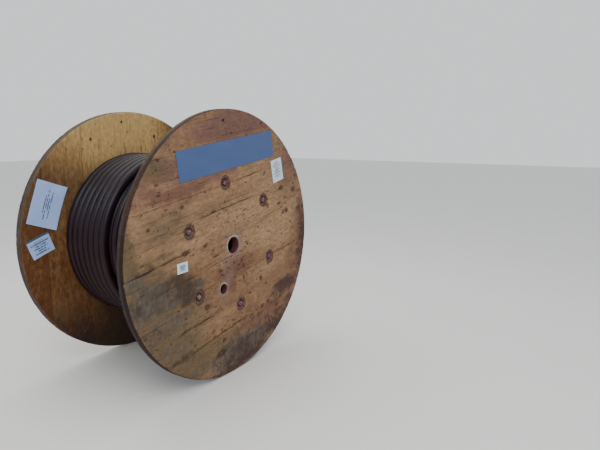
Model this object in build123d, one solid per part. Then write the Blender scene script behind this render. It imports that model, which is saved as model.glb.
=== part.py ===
from build123d import *
import math
import os

# A wooden cable drum, standing on its two rims, in millimetres.
# The drum's axis lies along Y, the floor is at Z = 0 and the sign is on the flange at -Y.

# Flanges, each two plies of sawn boards laid crosswise
FLANGE_DIAMETER = 1800
DRUM_WIDTH = 1046
PLY_THICKNESS = 30
BOARD_WIDTHS = (170, 165, 167, 155, 161, 178, 153, 146, 150)
BOARD_GAP = 2
NEAR_BOARD_TILT = 9.5
FAR_BOARD_TILT = 0
RIM_CHAMFER = 5

# Holes through both flanges
SPINDLE_HOLE_DIAMETER = 110
DRIVE_HOLE_DIAMETER = 68
DRIVE_HOLE_RADIUS = 300
LASHING_HOLE_DIAMETER = 22
LASHING_HOLE_INSET = 72
LASHING_HOLE_ANGLE = 95.6
HOLE_CHAMFER = 8

# Tie rods with a washer and a nut sunk into each flange
ROD_COUNT = 6
ROD_DIAMETER = 20
ROD_INSET = 24
FIRST_ROD_ANGLE = 39.35
ROD_HOLE_CLEARANCE = 0.6
NUT_CLEARANCE = 0.2
COUNTERBORE_DIAMETER = 95
COUNTERBORE_DEPTH = 25
WASHER_DIAMETER = 80
WASHER_THICKNESS = 4
NUT_WIDTH = 30
NUT_HEIGHT = 16
ROD_STICK_OUT = 3

# Barrel of staves, laid on blocks between the rods
BARREL_DIAMETER = 990
STAVE_COUNT = 24
STAVE_THICKNESS = 32
STAVE_GAP = 1
FORMER_THICKNESS = 32
FORMER_WIDTH = 70
FORMER_GAP = 60
SEAT_CLEARANCE = 0.3

# Cable, wound one layer full and part of a second one
CABLE_DIAMETER = 57
LAYER_RISE = 48
OUTER_LAYER_TURNS = 7
RIDGE_VALLEY = 4

# Sign and paper sheets: size, then the middle's distance from the rim, its angle and the tilt.
# The near label hangs below the sign's right end, and its tilt is measured from the sign's.
SIGN_THICKNESS = 2
SIGN_SIZE = (940, 187)
SIGN_INSET = 289
SIGN_ANGLE = 92
SIGN_TILT = 8
PAPER_THICKNESS = 0.4
NEAR_LABEL_SIZE = (142, 167)
NEAR_LABEL_GAP = 26
NEAR_LABEL_OVERHANG = 39
NEAR_LABEL_TILT = 4
NEAR_TAG_SIZE = (87, 65)
NEAR_TAG_INSET = 422
NEAR_TAG_ANGLE = 186.6
NEAR_TAG_TILT = 2
FAR_SHEET_SIZE = (210, 297)
FAR_SHEET_INSET = 140
FAR_SHEET_ANGLE = 158.7
FAR_SHEET_TILT = -20
FAR_LABEL_SIZE = (160, 134)
FAR_LABEL_INSET = 128
FAR_LABEL_ANGLE = 178.9
FAR_LABEL_TILT = 19

# Sizes that follow from the ones above
FLANGE_RADIUS = FLANGE_DIAMETER / 2
AXIS_HEIGHT = FLANGE_RADIUS
FLANGE_THICKNESS = 2 * PLY_THICKNESS
OUTER_FACE = DRUM_WIDTH / 2
INNER_FACE = OUTER_FACE - FLANGE_THICKNESS
PLY_JOINT = OUTER_FACE - PLY_THICKNESS
WASHER_SEAT = OUTER_FACE - COUNTERBORE_DEPTH
NUT_SEAT = WASHER_SEAT + WASHER_THICKNESS
ROD_END = NUT_SEAT + NUT_HEIGHT + ROD_STICK_OUT
DRIVE_HOLE_ANGLE = FIRST_ROD_ANGLE - 2.5 * 360 / ROD_COUNT
STAVE_ANGLE = 360 / STAVE_COUNT
STAVE_OUTSIDE = BARREL_DIAMETER / 2 * math.cos(math.radians(STAVE_ANGLE / 2))
STAVE_INSIDE = STAVE_OUTSIDE - STAVE_THICKNESS
ROD_CIRCLE_RADIUS = STAVE_INSIDE - ROD_INSET
LASHING_HOLE_RADIUS = FLANGE_RADIUS - LASHING_HOLE_INSET
INNER_WIDTH = 2 * INNER_FACE
TURN_COUNT = int(INNER_WIDTH // CABLE_DIAMETER)
TURN_PITCH = INNER_WIDTH / TURN_COUNT
FIRST_LAYER_RADIUS = BARREL_DIAMETER / 2 + CABLE_DIAMETER / 2
SECOND_LAYER_RADIUS = FIRST_LAYER_RADIUS + LAYER_RISE
DRUM_AXIS = Axis((0, 0, AXIS_HEIGHT), (0, 1, 0))


def cross_plane(y):
    """Plane across the drum's axis: its x is X, its y is Z and it faces -Y."""
    return Plane(origin=(0, y, AXIS_HEIGHT), x_dir=(1, 0, 0), z_dir=(0, -1, 0))


def slab(shape, y_from, y_to):
    """A flat shape drawn across the axis, made solid between two places along it."""
    return extrude(cross_plane(max(y_from, y_to)) * shape, amount=abs(y_to - y_from))


def polar(radius, angle):
    """Place at a distance and an angle from the axis, with its own x pointing outwards."""
    return Rot(0, 0, angle) * Pos(radius, 0)


def at_rods(shape):
    angles = [FIRST_ROD_ANGLE + k * 360 / ROD_COUNT for k in range(ROD_COUNT)]
    return Sketch() + [polar(ROD_CIRCLE_RADIUS, angle) * shape for angle in angles]


def section_point(radius, y):
    """Point of a lengthwise section through the drum, above its axis."""
    return Vector(0, y, AXIS_HEIGHT + radius)


def turned(points):
    """Solid turned about the drum's axis from the corners (radius, y) of its section."""
    corners = [section_point(radius, y) for radius, y in points]
    return revolve(make_face(Polyline(*corners, close=True)), DRUM_AXIS)


def flange_disc():
    """A flange's round outline with every hole but the spindle's."""
    rod_hole = Circle(ROD_DIAMETER / 2 + ROD_HOLE_CLEARANCE)
    drive_hole = polar(DRIVE_HOLE_RADIUS, DRIVE_HOLE_ANGLE) * Circle(DRIVE_HOLE_DIAMETER / 2)
    lashing_hole = polar(LASHING_HOLE_RADIUS, LASHING_HOLE_ANGLE) * Circle(LASHING_HOLE_DIAMETER / 2)
    return Circle(FLANGE_RADIUS) - drive_hole - lashing_hole - at_rods(rod_hole)


def board_spans():
    """Lower and upper edge of each board of a ply, from its middle line, rim boards included."""
    joints = [-sum(BOARD_WIDTHS) / 2]
    for width in BOARD_WIDTHS:
        joints.append(joints[-1] + width)
    joints = [v for v in joints if abs(v) < FLANGE_RADIUS - BOARD_GAP]
    lows = [-FLANGE_RADIUS] + [v + BOARD_GAP / 2 for v in joints]
    highs = [v - BOARD_GAP / 2 for v in joints] + [FLANGE_RADIUS]
    return list(zip(lows, highs))


def drive_hole_chamfer(side):
    """Cone that breaks the drive hole's edge at a flange's outer face."""
    small = DRIVE_HOLE_DIAMETER / 2
    radii = (small, small + HOLE_CHAMFER) if side < 0 else (small + HOLE_CHAMFER, small)
    middle = cross_plane(side * (OUTER_FACE - HOLE_CHAMFER / 2))
    return middle * polar(DRIVE_HOLE_RADIUS, DRIVE_HOLE_ANGLE) * Cone(*radii, HOLE_CHAMFER)


def inner_ply(tilt, y_from, y_to):
    """Boards of the ply that faces the cable, laid across the outer ply's boards."""
    disc = flange_disc() - Circle(SPINDLE_HOLE_DIAMETER / 2)
    for low, high in board_spans():
        strip = Pos(0, (low + high) / 2) * Rectangle(2 * FLANGE_RADIUS, high - low)
        yield slab(disc & (Rot(0, 0, tilt + 90) * strip), y_from, y_to)


def outer_ply(tilt, side):
    """Boards of the ply that shows on the outside, with its edges broken and its rods sunk in."""
    disc = flange_disc()
    face = side * OUTER_FACE
    spindle_radius = SPINDLE_HOLE_DIAMETER / 2
    blank = turned([
        (spindle_radius, side * PLY_JOINT),
        (spindle_radius, side * (OUTER_FACE - HOLE_CHAMFER)),
        (spindle_radius + HOLE_CHAMFER, face),
        (FLANGE_RADIUS - RIM_CHAMFER, face),
        (FLANGE_RADIUS, side * (OUTER_FACE - RIM_CHAMFER)),
        (FLANGE_RADIUS, side * PLY_JOINT),
    ])
    counterbores = slab(at_rods(Circle(COUNTERBORE_DIAMETER / 2)), side * WASHER_SEAT, face)
    broken_edge = drive_hole_chamfer(side)
    for low, high in board_spans():
        strip = Pos(0, (low + high) / 2) * Rectangle(2 * FLANGE_RADIUS, high - low)
        board = slab(disc & (Rot(0, 0, tilt) * strip), side * PLY_JOINT, face)
        yield (board & blank) - counterbores - broken_edge


def barrel_staves():
    """Planks with bevelled edges round the barrel, laid flange to flange."""
    half = math.tan(math.radians(STAVE_ANGLE / 2))
    outer = STAVE_OUTSIDE * half - STAVE_GAP / 2
    inner = STAVE_INSIDE * half - STAVE_GAP / 2
    plank = make_face(Polyline(
        (STAVE_INSIDE, -inner),
        (STAVE_OUTSIDE, -outer),
        (STAVE_OUTSIDE, outer),
        (STAVE_INSIDE, inner),
        close=True,
    ))
    for k in range(STAVE_COUNT):
        yield slab(Rot(0, 0, k * STAVE_ANGLE) * plank, -INNER_FACE, INNER_FACE)


def formers(side):
    """Blocks inside one end of the barrel, between the rods, which the staves lie on."""
    to_corner = 1 / math.cos(math.radians(STAVE_ANGLE / 2))
    outside = STAVE_INSIDE - SEAT_CLEARANCE
    ring = (
        RegularPolygon(outside * to_corner, STAVE_COUNT, rotation=STAVE_ANGLE / 2)
        - RegularPolygon((outside - FORMER_WIDTH) * to_corner, STAVE_COUNT, rotation=STAVE_ANGLE / 2)
    )
    gaps = at_rods(Rectangle(3 * FORMER_WIDTH, FORMER_GAP))
    return slab(ring - gaps, side * INNER_FACE, side * (INNER_FACE - FORMER_THICKNESS))


def wound_cable():
    """The wound cable as one turned solid: each turn that shows is a flat-topped ridge of its outline."""
    bore = BARREL_DIAMETER / 2 + SEAT_CLEARANCE
    side = INNER_FACE - SEAT_CLEARANCE
    corners = [(bore, -side), (FIRST_LAYER_RADIUS + RIDGE_VALLEY, -side)]
    for k in range(TURN_COUNT):
        left = -INNER_FACE + k * TURN_PITCH
        in_second = k >= TURN_COUNT - OUTER_LAYER_TURNS
        middle = SECOND_LAYER_RADIUS if in_second else FIRST_LAYER_RADIUS
        if k == TURN_COUNT - OUTER_LAYER_TURNS:
            corners.append((middle + RIDGE_VALLEY, left))
        corners.append((middle + CABLE_DIAMETER / 2, left + TURN_PITCH / 4))
        corners.append((middle + CABLE_DIAMETER / 2, left + TURN_PITCH * 3 / 4))
        corners.append((middle + RIDGE_VALLEY, min(left + TURN_PITCH, side)))
    return turned(corners + [(bore, side)])


def tie_rods():
    return slab(at_rods(Circle(ROD_DIAMETER / 2)), -ROD_END, ROD_END)


def washers(side):
    ring = Circle(WASHER_DIAMETER / 2) - Circle(ROD_DIAMETER / 2 + ROD_HOLE_CLEARANCE)
    return slab(at_rods(ring), side * WASHER_SEAT, side * NUT_SEAT)


def nuts(side):
    corner_radius = NUT_WIDTH / 2 / math.cos(math.radians(30))
    outline = RegularPolygon(corner_radius, 6) - Circle(ROD_DIAMETER / 2 + NUT_CLEARANCE)
    return slab(at_rods(outline), side * NUT_SEAT, side * (NUT_SEAT + NUT_HEIGHT))


def from_rim(inset, angle, tilt):
    """Place on a flange at a distance from its rim, turned by a tilt from level."""
    return polar(FLANGE_RADIUS - inset, angle) * Rot(0, 0, tilt - angle)


def below_sign(sign_place):
    """Place of the near label, below the sign's right end."""
    right = SIGN_SIZE[0] / 2 + NEAR_LABEL_OVERHANG
    down = SIGN_SIZE[1] / 2 + NEAR_LABEL_GAP + NEAR_LABEL_SIZE[1] / 2
    return sign_place * Pos(right, -down) * Rot(0, 0, NEAR_LABEL_TILT)


def sheet(size, place, face, thickness=PAPER_THICKNESS):
    """Thin sheet on the -Y side of a flange's face."""
    return slab(place * Rectangle(*size), face, face - thickness)


def save(name, shapes):
    solids = [solid for shape in shapes for solid in shape.solids()]
    export_step(Compound(children=solids), f"parts/{name}.step")


def main():
    os.makedirs("parts", exist_ok=True)
    plies = {
        "near_outer": outer_ply(NEAR_BOARD_TILT, -1),
        "near_inner": inner_ply(NEAR_BOARD_TILT, -PLY_JOINT, -INNER_FACE),
        "far_inner": inner_ply(FAR_BOARD_TILT, INNER_FACE, PLY_JOINT),
        "far_outer": outer_ply(FAR_BOARD_TILT, 1),
    }
    for ply, boards in plies.items():
        for number, board in enumerate(boards, start=1):
            save(f"{ply}_board_{number:02d}", [board])
    save("barrel_staves", barrel_staves())
    save("near_formers", [formers(-1)])
    save("far_formers", [formers(1)])
    save("wound_cable", [wound_cable()])
    save("tie_rods", [tie_rods()])
    save("near_washers", [washers(-1)])
    save("far_washers", [washers(1)])
    save("near_nuts", [nuts(-1)])
    save("far_nuts", [nuts(1)])
    sign_place = from_rim(SIGN_INSET, SIGN_ANGLE, SIGN_TILT)
    tag_place = from_rim(NEAR_TAG_INSET, NEAR_TAG_ANGLE, NEAR_TAG_TILT)
    far_sheet_place = from_rim(FAR_SHEET_INSET, FAR_SHEET_ANGLE, FAR_SHEET_TILT)
    far_label_place = from_rim(FAR_LABEL_INSET, FAR_LABEL_ANGLE, FAR_LABEL_TILT)
    sheets = {
        "near_sign": sheet(SIGN_SIZE, sign_place, -OUTER_FACE, SIGN_THICKNESS),
        "near_label": sheet(NEAR_LABEL_SIZE, below_sign(sign_place), -OUTER_FACE),
        "near_tag": sheet(NEAR_TAG_SIZE, tag_place, -OUTER_FACE),
        "far_sheet": sheet(FAR_SHEET_SIZE, far_sheet_place, INNER_FACE),
        "far_label": sheet(FAR_LABEL_SIZE, far_label_place, INNER_FACE),
    }
    for name, shape in sheets.items():
        save(name, [shape])


main()
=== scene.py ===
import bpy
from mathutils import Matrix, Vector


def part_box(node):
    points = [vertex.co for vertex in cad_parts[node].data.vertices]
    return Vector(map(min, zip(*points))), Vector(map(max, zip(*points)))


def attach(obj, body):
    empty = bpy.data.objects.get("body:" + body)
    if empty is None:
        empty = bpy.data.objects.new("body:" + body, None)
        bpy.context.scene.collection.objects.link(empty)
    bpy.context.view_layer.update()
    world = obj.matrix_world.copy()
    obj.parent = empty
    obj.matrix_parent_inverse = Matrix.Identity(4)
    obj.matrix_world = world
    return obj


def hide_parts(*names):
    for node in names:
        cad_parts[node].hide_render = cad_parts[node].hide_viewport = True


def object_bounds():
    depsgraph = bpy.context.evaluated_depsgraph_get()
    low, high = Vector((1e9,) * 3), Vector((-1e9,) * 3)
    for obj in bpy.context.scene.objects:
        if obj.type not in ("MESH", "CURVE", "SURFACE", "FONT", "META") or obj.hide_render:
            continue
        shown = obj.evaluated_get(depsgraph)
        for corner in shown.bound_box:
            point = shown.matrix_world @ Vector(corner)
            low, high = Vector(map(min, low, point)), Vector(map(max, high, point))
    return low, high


bl_info = {
    "name": "Wooden cable drum",
    "version": (1, 0, 0),
    "blender": (4, 5, 0),
    "location": "3D View > Sidebar > Cable drum",
    "description": "Dresses the packed cable drum with worn boards, wound cable, rusty bolts and a studio",
    "category": "Object",
}

import math
from collections import namedtuple

import bmesh
import bpy
import numpy as np
from mathutils import Matrix, Vector

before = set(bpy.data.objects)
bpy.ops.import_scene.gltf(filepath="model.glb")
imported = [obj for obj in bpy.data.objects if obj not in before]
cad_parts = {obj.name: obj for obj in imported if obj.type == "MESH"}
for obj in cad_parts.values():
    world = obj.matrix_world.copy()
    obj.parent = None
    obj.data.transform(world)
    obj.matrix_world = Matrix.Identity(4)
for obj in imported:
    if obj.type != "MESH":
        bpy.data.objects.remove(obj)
CAD_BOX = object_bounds()

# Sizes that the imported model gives, in metres
RADIUS = (CAD_BOX[1].z - CAD_BOX[0].z) / 2
OUTER_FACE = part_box("far_outer_board_06")[1].y
PLY_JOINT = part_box("far_inner_board_06")[1].y
INNER_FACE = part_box("far_inner_board_06")[0].y
BOARDS_IN_PLY = 11
ROD_COUNT = 6
ROD_RADIUS = 0.01
FIRST_ROD_ANGLE = 39.35
ROD_HOLE_RADIUS = 0.0106
SPINDLE_RADIUS = 0.055
DRIVE_HOLE_RADIUS = 0.034
LASHING_HOLE_RADIUS = 0.011
COUNTERBORE_RADIUS = 0.0475
COUNTERBORE_DEPTH = 0.025
ROD_ANGLES = [FIRST_ROD_ANGLE + 360 / ROD_COUNT * k for k in range(ROD_COUNT)]


def rod_circle_radius():
    """Distance from the drum's axis to the middle of a tie rod."""
    highest = max(math.sin(math.radians(a)) for a in ROD_ANGLES)
    return (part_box("tie_rods")[1].z - RADIUS - ROD_RADIUS) / highest


def polar_place(radius, angle):
    """x and height above the drum's axis of a place at an angle in degrees."""
    a = math.radians(angle)
    return radius * math.cos(a), radius * math.sin(a)


ROD_PLACES = [polar_place(rod_circle_radius(), angle) for angle in ROD_ANGLES]
DRIVE_HOLE = polar_place(0.3, -110.65)
LASHING_HOLE = polar_place(0.828, 95.6)

# A ply: angle of its boards, the face that shows, the hidden one, and which way the shown one looks
Ply = namedtuple("Ply", "tilt face hidden looks")
PLIES = {
    "near_outer": Ply(9.5, -OUTER_FACE, -PLY_JOINT, -1),
    "near_inner": Ply(99.5, -INNER_FACE, -PLY_JOINT, 1),
    "far_inner": Ply(90.0, INNER_FACE, PLY_JOINT, -1),
    "far_outer": Ply(0.0, OUTER_FACE, PLY_JOINT, 1),
}


class DrumSizes(bpy.types.PropertyGroup):
    """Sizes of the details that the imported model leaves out."""

    nail_head: bpy.props.FloatProperty(
        name="Nail head", description="Diameter of a nail's head", default=0.009, unit="LENGTH")
    shown_step: bpy.props.FloatProperty(
        name="Point spacing, sign side", description="Distance between the points of the near outer boards",
        default=0.008, unit="LENGTH")
    board_step: bpy.props.FloatProperty(
        name="Point spacing", description="Distance between the points of the other boards",
        default=0.014, unit="LENGTH")
    edge_wear: bpy.props.FloatProperty(
        name="Edge wear", description="How far a board's edge is worn back where its joint stands open",
        default=0.0003, unit="LENGTH")
    face_relief: bpy.props.FloatProperty(
        name="Face relief", description="Depth of the raised grain on a board", default=0.0006, unit="LENGTH")
    cable_sides: bpy.props.IntProperty(
        name="Cable sides", description="Points round the cable", default=12)
    cable_steps: bpy.props.IntProperty(
        name="Cable steps", description="Points along one turn of the cable", default=96)


def colour_property(name, description, default):
    """A colour that a user can change."""
    return bpy.props.FloatVectorProperty(
        name=name, description=description, default=default, size=3, min=0, max=1, subtype="COLOR")


class DrumColours(bpy.types.PropertyGroup):
    """Colours of the drum's finishes."""

    straw: colour_property("Straw", "Sun-bleached sawn pine", (0.325, 0.205, 0.112))
    tan: colour_property("Tan", "Sawn pine", (0.200, 0.112, 0.057))
    brown: colour_property("Brown", "Late wood and old pine", (0.095, 0.048, 0.025))
    pink: colour_property("Red brown", "Reddish pine", (0.142, 0.073, 0.060))
    russet: colour_property("Russet", "Reddish pine of the lower half", (0.150, 0.071, 0.046))
    # Painted shade: the dark red on the walls of the spindle and drive holes
    painted_hole_shade: colour_property("Maroon", "Stained walls of the spindle and drive holes", (0.082, 0.029, 0.029))
    olive: colour_property("Olive", "Greenish weathered pine", (0.100, 0.074, 0.040))
    grey: colour_property("Grey", "Weathered wood", (0.069, 0.0565, 0.0455))
    pale_grey: colour_property("Pale grey", "Bleached streaks of the grey wood", (0.160, 0.148, 0.132))
    lilac: colour_property("Lilac grey", "Worn wood round the holes", (0.205, 0.150, 0.140))
    worn: colour_property("Worn edge", "Bare wood on the holes' edges", (0.38, 0.29, 0.225))
    # Also the painted shade on the outer boards' hole walls
    purple: colour_property("Purple", "Dark wet stain", (0.037, 0.0145, 0.0170))
    umber: colour_property("Umber", "Dark stain of the left half", (0.042, 0.027, 0.017))
    mark: colour_property("Mark", "Small dark marks", (0.048, 0.023, 0.014))
    # Also painted shade: recesses below the boards' face, and the dark low on the inner boards
    dirt: colour_property("Dirt", "Dirt in joints and round nails", (0.018, 0.010, 0.008))
    inner_warm: colour_property("Inner boards", "Warm brown of the inner boards", (0.105, 0.038, 0.011))
    # Painted sunlight: the yellow where light falls high on the inner boards
    inner_painted_sunlight: colour_property("Inner boards, top", "Yellow wood high on the boards", (0.42, 0.28, 0.11))
    outer_rim: colour_property("Outer rim", "Dark edge of the outer boards", (0.012, 0.005, 0.006))
    inner_rim: colour_property("Inner rim", "Scuffed edge of the inner boards", (0.034, 0.022, 0.022))
    sheath: colour_property("Sheath", "Reddish black cable sheath", (0.0125, 0.0026, 0.0050))
    # Painted sky sheen: the bluish black of the upper turns
    sheath_painted_sky_sheen: colour_property("Sheath, above", "Bluish black of the upper turns", (0.0090, 0.0062, 0.0110))
    dust: colour_property("Dust", "Dust on the cable", (0.050, 0.024, 0.034))
    # Dust on the upper turns, lightened with painted sky sheen
    dust_and_painted_sky_sheen: colour_property("Dust, above", "Dust on the upper turns", (0.062, 0.052, 0.072))
    rust: colour_property("Rust", "Dark rust", (0.078, 0.026, 0.026))
    brown_rust: colour_property("Brown rust", "Rust of the left half", (0.080, 0.042, 0.022))
    # Also the painted glints on the nuts
    bare_steel_and_glints: colour_property("Worn steel", "Worn spots on rusty steel", (0.38, 0.29, 0.29))
    sign_blue: colour_property("Sign", "Blue of the bare sign", (0.042, 0.080, 0.205))
    paper: colour_property("Paper", "Bluish sheets on the far flange", (0.32, 0.45, 0.79))
    label: colour_property("Label", "Whiter labels on the near flange", (0.50, 0.62, 0.70))
    floor: colour_property("Floor", "Studio floor", (0.72, 0.72, 0.71))


def sizes():
    """The sizes that a user can change."""
    return bpy.context.scene.drum_sizes


def colour(name):
    """One of the drum's colours."""
    return tuple(getattr(bpy.context.scene.drum_colours, name))


# Shader maths

class Wire:
    """A shader socket that adds its Math nodes when it is used in an expression."""

    def __init__(self, shader, socket):
        self.shader = shader
        self.socket = socket

    def _math(self, operation, *values, clamp=False):
        node = self.shader.node("ShaderNodeMath", {"operation": operation, "use_clamp": clamp},
                                dict(enumerate(values)))
        return node.out(0)

    def __add__(self, other):
        return self._math("ADD", self, other)

    def __radd__(self, other):
        return self._math("ADD", other, self)

    def __sub__(self, other):
        return self._math("SUBTRACT", self, other)

    def __rsub__(self, other):
        return self._math("SUBTRACT", other, self)

    def __mul__(self, other):
        return self._math("MULTIPLY", self, other)

    def __rmul__(self, other):
        return self._math("MULTIPLY", other, self)

    def __truediv__(self, other):
        return self._math("DIVIDE", self, other)

    def __pow__(self, other):
        return self._math("POWER", self, other)

    def clamp(self):
        return self._math("ADD", self, 0.0, clamp=True)

    def absolute(self):
        return self._math("ABSOLUTE", self)

    def fraction(self):
        return self._math("FRACT", self)

    def floor(self):
        return self._math("FLOOR", self)

    def larger(self, other):
        return self._math("MAXIMUM", self, other)

    def rise(self, low, high):
        """0 below low, 1 above high, and smooth between them."""
        node = self.shader.node("ShaderNodeMapRange", {"interpolation_type": "SMOOTHSTEP"},
                                {"Value": self, "From Min": low, "From Max": high})
        return node.out(0)


class Node:
    """A shader node that has been set and linked."""

    def __init__(self, shader, node):
        self.shader = shader
        self.node = node

    def out(self, key=0):
        return Wire(self.shader, self.node.outputs[key])


class Shader:
    """The node tree of one material."""

    def __init__(self, name):
        self.material = bpy.data.materials.new(name)
        self.material.use_nodes = True
        self.tree = self.material.node_tree
        self.tree.nodes.clear()

    def node(self, kind, settings=None, values=None):
        """Adds a node of a type, with its settings, then the values or links of its sockets."""
        made = self.tree.nodes.new(kind)
        for name, value in (settings or {}).items():
            setattr(made, name, value)
        for key, value in (values or {}).items():
            socket = made.inputs[key]
            if isinstance(value, Wire):
                self.tree.links.new(value.socket, socket)
            elif isinstance(value, (tuple, list)) and len(value) == 3 and socket.type == "RGBA":
                socket.default_value = (*value, 1.0)
            else:
                socket.default_value = value
        return Node(self, made)

    def place(self):
        """Object coordinates, which are the drum's own, in metres."""
        return self.node("ShaderNodeTexCoord").out("Object")

    def stored(self, name):
        """Values that the mesh carries at its points."""
        return self.node("ShaderNodeAttribute", {"attribute_name": name})

    def split(self, vector):
        node = self.node("ShaderNodeSeparateXYZ", {}, {0: vector})
        return node.out(0), node.out(1), node.out(2)

    def split_colour(self, wire):
        node = self.node("ShaderNodeSeparateColor", {}, {0: wire})
        return node.out(0), node.out(1), node.out(2)

    def vector(self, x, y, z):
        return self.node("ShaderNodeCombineXYZ", {}, {0: x, 1: y, 2: z}).out(0)

    def scaled(self, vector, scale):
        return self.node("ShaderNodeVectorMath", {"operation": "MULTIPLY"}, {0: vector, 1: scale}).out(0)

    def noise(self, vector, scale=1.0, detail=3.0, rough=0.5, warp=0.0):
        node = self.node("ShaderNodeTexNoise", {"noise_dimensions": "3D"},
                         {"Vector": vector, "Scale": scale, "Detail": detail,
                          "Roughness": rough, "Distortion": warp})
        return node.out(0)

    def cells(self, vector):
        """Distance to the nearest of scattered points, and two numbers that belong to that point."""
        node = self.node("ShaderNodeTexVoronoi", {}, {"Vector": vector, "Scale": 1.0})
        first, second, _ = self.split_colour(node.out("Color"))
        return node.out("Distance"), first, second

    def mix(self, share, first, second, blend="MIX"):
        """Colour between two colours."""
        node = self.node("ShaderNodeMix", {"data_type": "RGBA", "blend_type": blend},
                         {0: share, 6: first, 7: second})
        return node.out(2)

    def bump(self, height, distance, strength):
        values = {"Height": height, "Distance": distance, "Strength": strength}
        return self.node("ShaderNodeBump", {}, values).out(0)

    def finish(self, base, rough, normal, **constants):
        """The surface and its output. Constants are set on the shader's own sockets."""
        values = {"Base Color": base, "Roughness": rough, "Normal": normal}
        surface = self.node("ShaderNodeBsdfPrincipled", {}, values)
        for name, value in constants.items():
            surface.node.inputs[name.replace("_", " ")].default_value = value
        output = self.tree.nodes.new("ShaderNodeOutputMaterial")
        self.tree.links.new(surface.node.outputs[0], output.inputs[0])
        return self.material


# Numbers that look random and are the same each run

def lattice(i, j, seed):
    """Number between 0 and 1 for each corner of a grid."""
    h = (i.astype(np.int64) * 374761393 + j.astype(np.int64) * 668265263 + seed * 974711) & 0xFFFFFFFF
    h = ((h ^ (h >> 13)) * 1274126177) & 0xFFFFFFFF
    return ((h ^ (h >> 16)) & 0xFFFFFF) / float(0xFFFFFF)


def waves(x, y, seed):
    """Smooth noise between -1 and 1 over a plane."""
    x = np.asarray(x, float)
    y = np.asarray(y, float) + np.zeros_like(x)
    i, j = np.floor(x), np.floor(y)
    fx, fy = x - i, y - j
    fx, fy = fx * fx * (3 - 2 * fx), fy * fy * (3 - 2 * fy)
    low = lattice(i, j, seed) * (1 - fx) + lattice(i + 1, j, seed) * fx
    high = lattice(i, j + 1, seed) * (1 - fx) + lattice(i + 1, j + 1, seed) * fx
    return 2 * (low * (1 - fy) + high * fy) - 1


def mesh_points(mesh):
    """Points of a mesh, in the drum's frame."""
    co = np.zeros(len(mesh.vertices) * 3, np.float32)
    mesh.vertices.foreach_get("co", co)
    return co.reshape(-1, 3).astype(float)


def node_points(node):
    """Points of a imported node."""
    return mesh_points(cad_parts[node].data)


def add_piece(name, mesh, material, replaces=()):
    """Puts a piece on the drum's body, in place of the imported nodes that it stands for."""
    piece = bpy.data.objects.new(name, mesh)
    bpy.context.scene.collection.objects.link(piece)
    mesh.materials.append(material)
    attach(piece, "root")
    if replaces:
        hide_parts(*replaces)
    return piece


def mesh_from(name, points, faces, sharp=None):
    """A mesh whose faces look outwards, smooth up to an angle in degrees, or flat where none is given."""
    mesh = bpy.data.meshes.new(name)
    mesh.from_pydata([tuple(p) for p in points], [], [tuple(f) for f in faces])
    mesh.validate()
    tidy = bmesh.new()
    tidy.from_mesh(mesh)
    bmesh.ops.recalc_face_normals(tidy, faces=tidy.faces)
    tidy.to_mesh(mesh)
    tidy.free()
    if sharp is not None:
        smooth_faces(mesh, sharp)
    return mesh


def smooth_faces(mesh, sharp):
    """Smooths a mesh except at edges that turn by more than an angle in degrees."""
    mesh.polygons.foreach_set("use_smooth", [True] * len(mesh.polygons))
    mesh.set_sharp_from_angle(angle=math.radians(sharp))


def grid_faces(rows, columns):
    """Faces of a grid of points that are listed row by row."""
    starts = [i * columns + j for i in range(rows - 1) for j in range(columns - 1)]
    return [(a, a + 1, a + columns + 1, a + columns) for a in starts]


def grid_border(rows, columns):
    """Rows and columns of the points round a grid, in order."""
    border = [(0, j) for j in range(columns)]
    border += [(i, columns - 1) for i in range(1, rows)]
    border += [(rows - 1, j) for j in range(columns - 2, -1, -1)]
    return border + [(i, 0) for i in range(rows - 2, 0, -1)]


def tube_faces(rings, sides):
    """Faces between rings of points that are listed one after the other."""
    faces = []
    for start in range(0, (rings - 1) * sides, sides):
        for q in range(sides):
            a, b = start + q, start + (q + 1) % sides
            faces.append((a, b, b + sides, a + sides))
    return faces


def closed_tube_faces(rings, sides):
    """Faces of a tube with both its ends closed."""
    last = (rings - 1) * sides
    return tube_faces(rings, sides) + [tuple(range(sides)), tuple(range(last, last + sides))]


def turned_points(profile, steps, centre):
    """Points turned from (radius, y) corners round an axis along Y; the centre is given from the drum's."""
    points = []
    for k in range(steps):
        a = 2 * math.pi * k / steps
        for r, y in profile:
            points.append((centre[0] + r * math.cos(a), y, RADIUS + centre[1] + r * math.sin(a)))
    return points


def lathe_faces(steps, corners):
    """Faces of a closed profile with so many corners, turned round an axis."""
    faces = []
    for k in range(steps):
        a, b = k * corners, (k + 1) % steps * corners
        for i in range(corners):
            j = (i + 1) % corners
            faces.append((a + i, a + j, b + j, b + i))
    return faces


def lathe(profile, steps, centre):
    """A turned ring whose profile is closed: points and faces."""
    return turned_points(profile, steps, centre), lathe_faces(steps, len(profile))


def spun(profile, steps, centre):
    """A turned solid whose profile starts and ends on its axis: points and faces."""
    inner = profile[1:-1]
    n = len(inner)
    points = [(centre[0], profile[end][1], RADIUS + centre[1]) for end in (0, -1)]
    points += turned_points(inner, steps, centre)
    faces = []
    for k in range(steps):
        a, b = 2 + k * n, 2 + (k + 1) % steps * n
        faces.append((0, a, b))
        for i in range(n - 1):
            faces.append((a + i, a + i + 1, b + i + 1, b + i))
        faces.append((1, b + n - 1, a + n - 1))
    return points, faces


def join_parts(parts):
    """One list of points and one of faces from several parts."""
    points, faces = [], []
    for part_points, part_faces in parts:
        shift = len(points)
        points.extend(part_points)
        faces.extend(tuple(i + shift for i in f) for f in part_faces)
    return points, faces


def add_parts(name, parts, sharp, material, replaces=()):
    """Puts like parts on the drum's body as one piece."""
    return add_piece(name, mesh_from(name, *join_parts(parts), sharp=sharp), material, replaces)


# Boards

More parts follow.
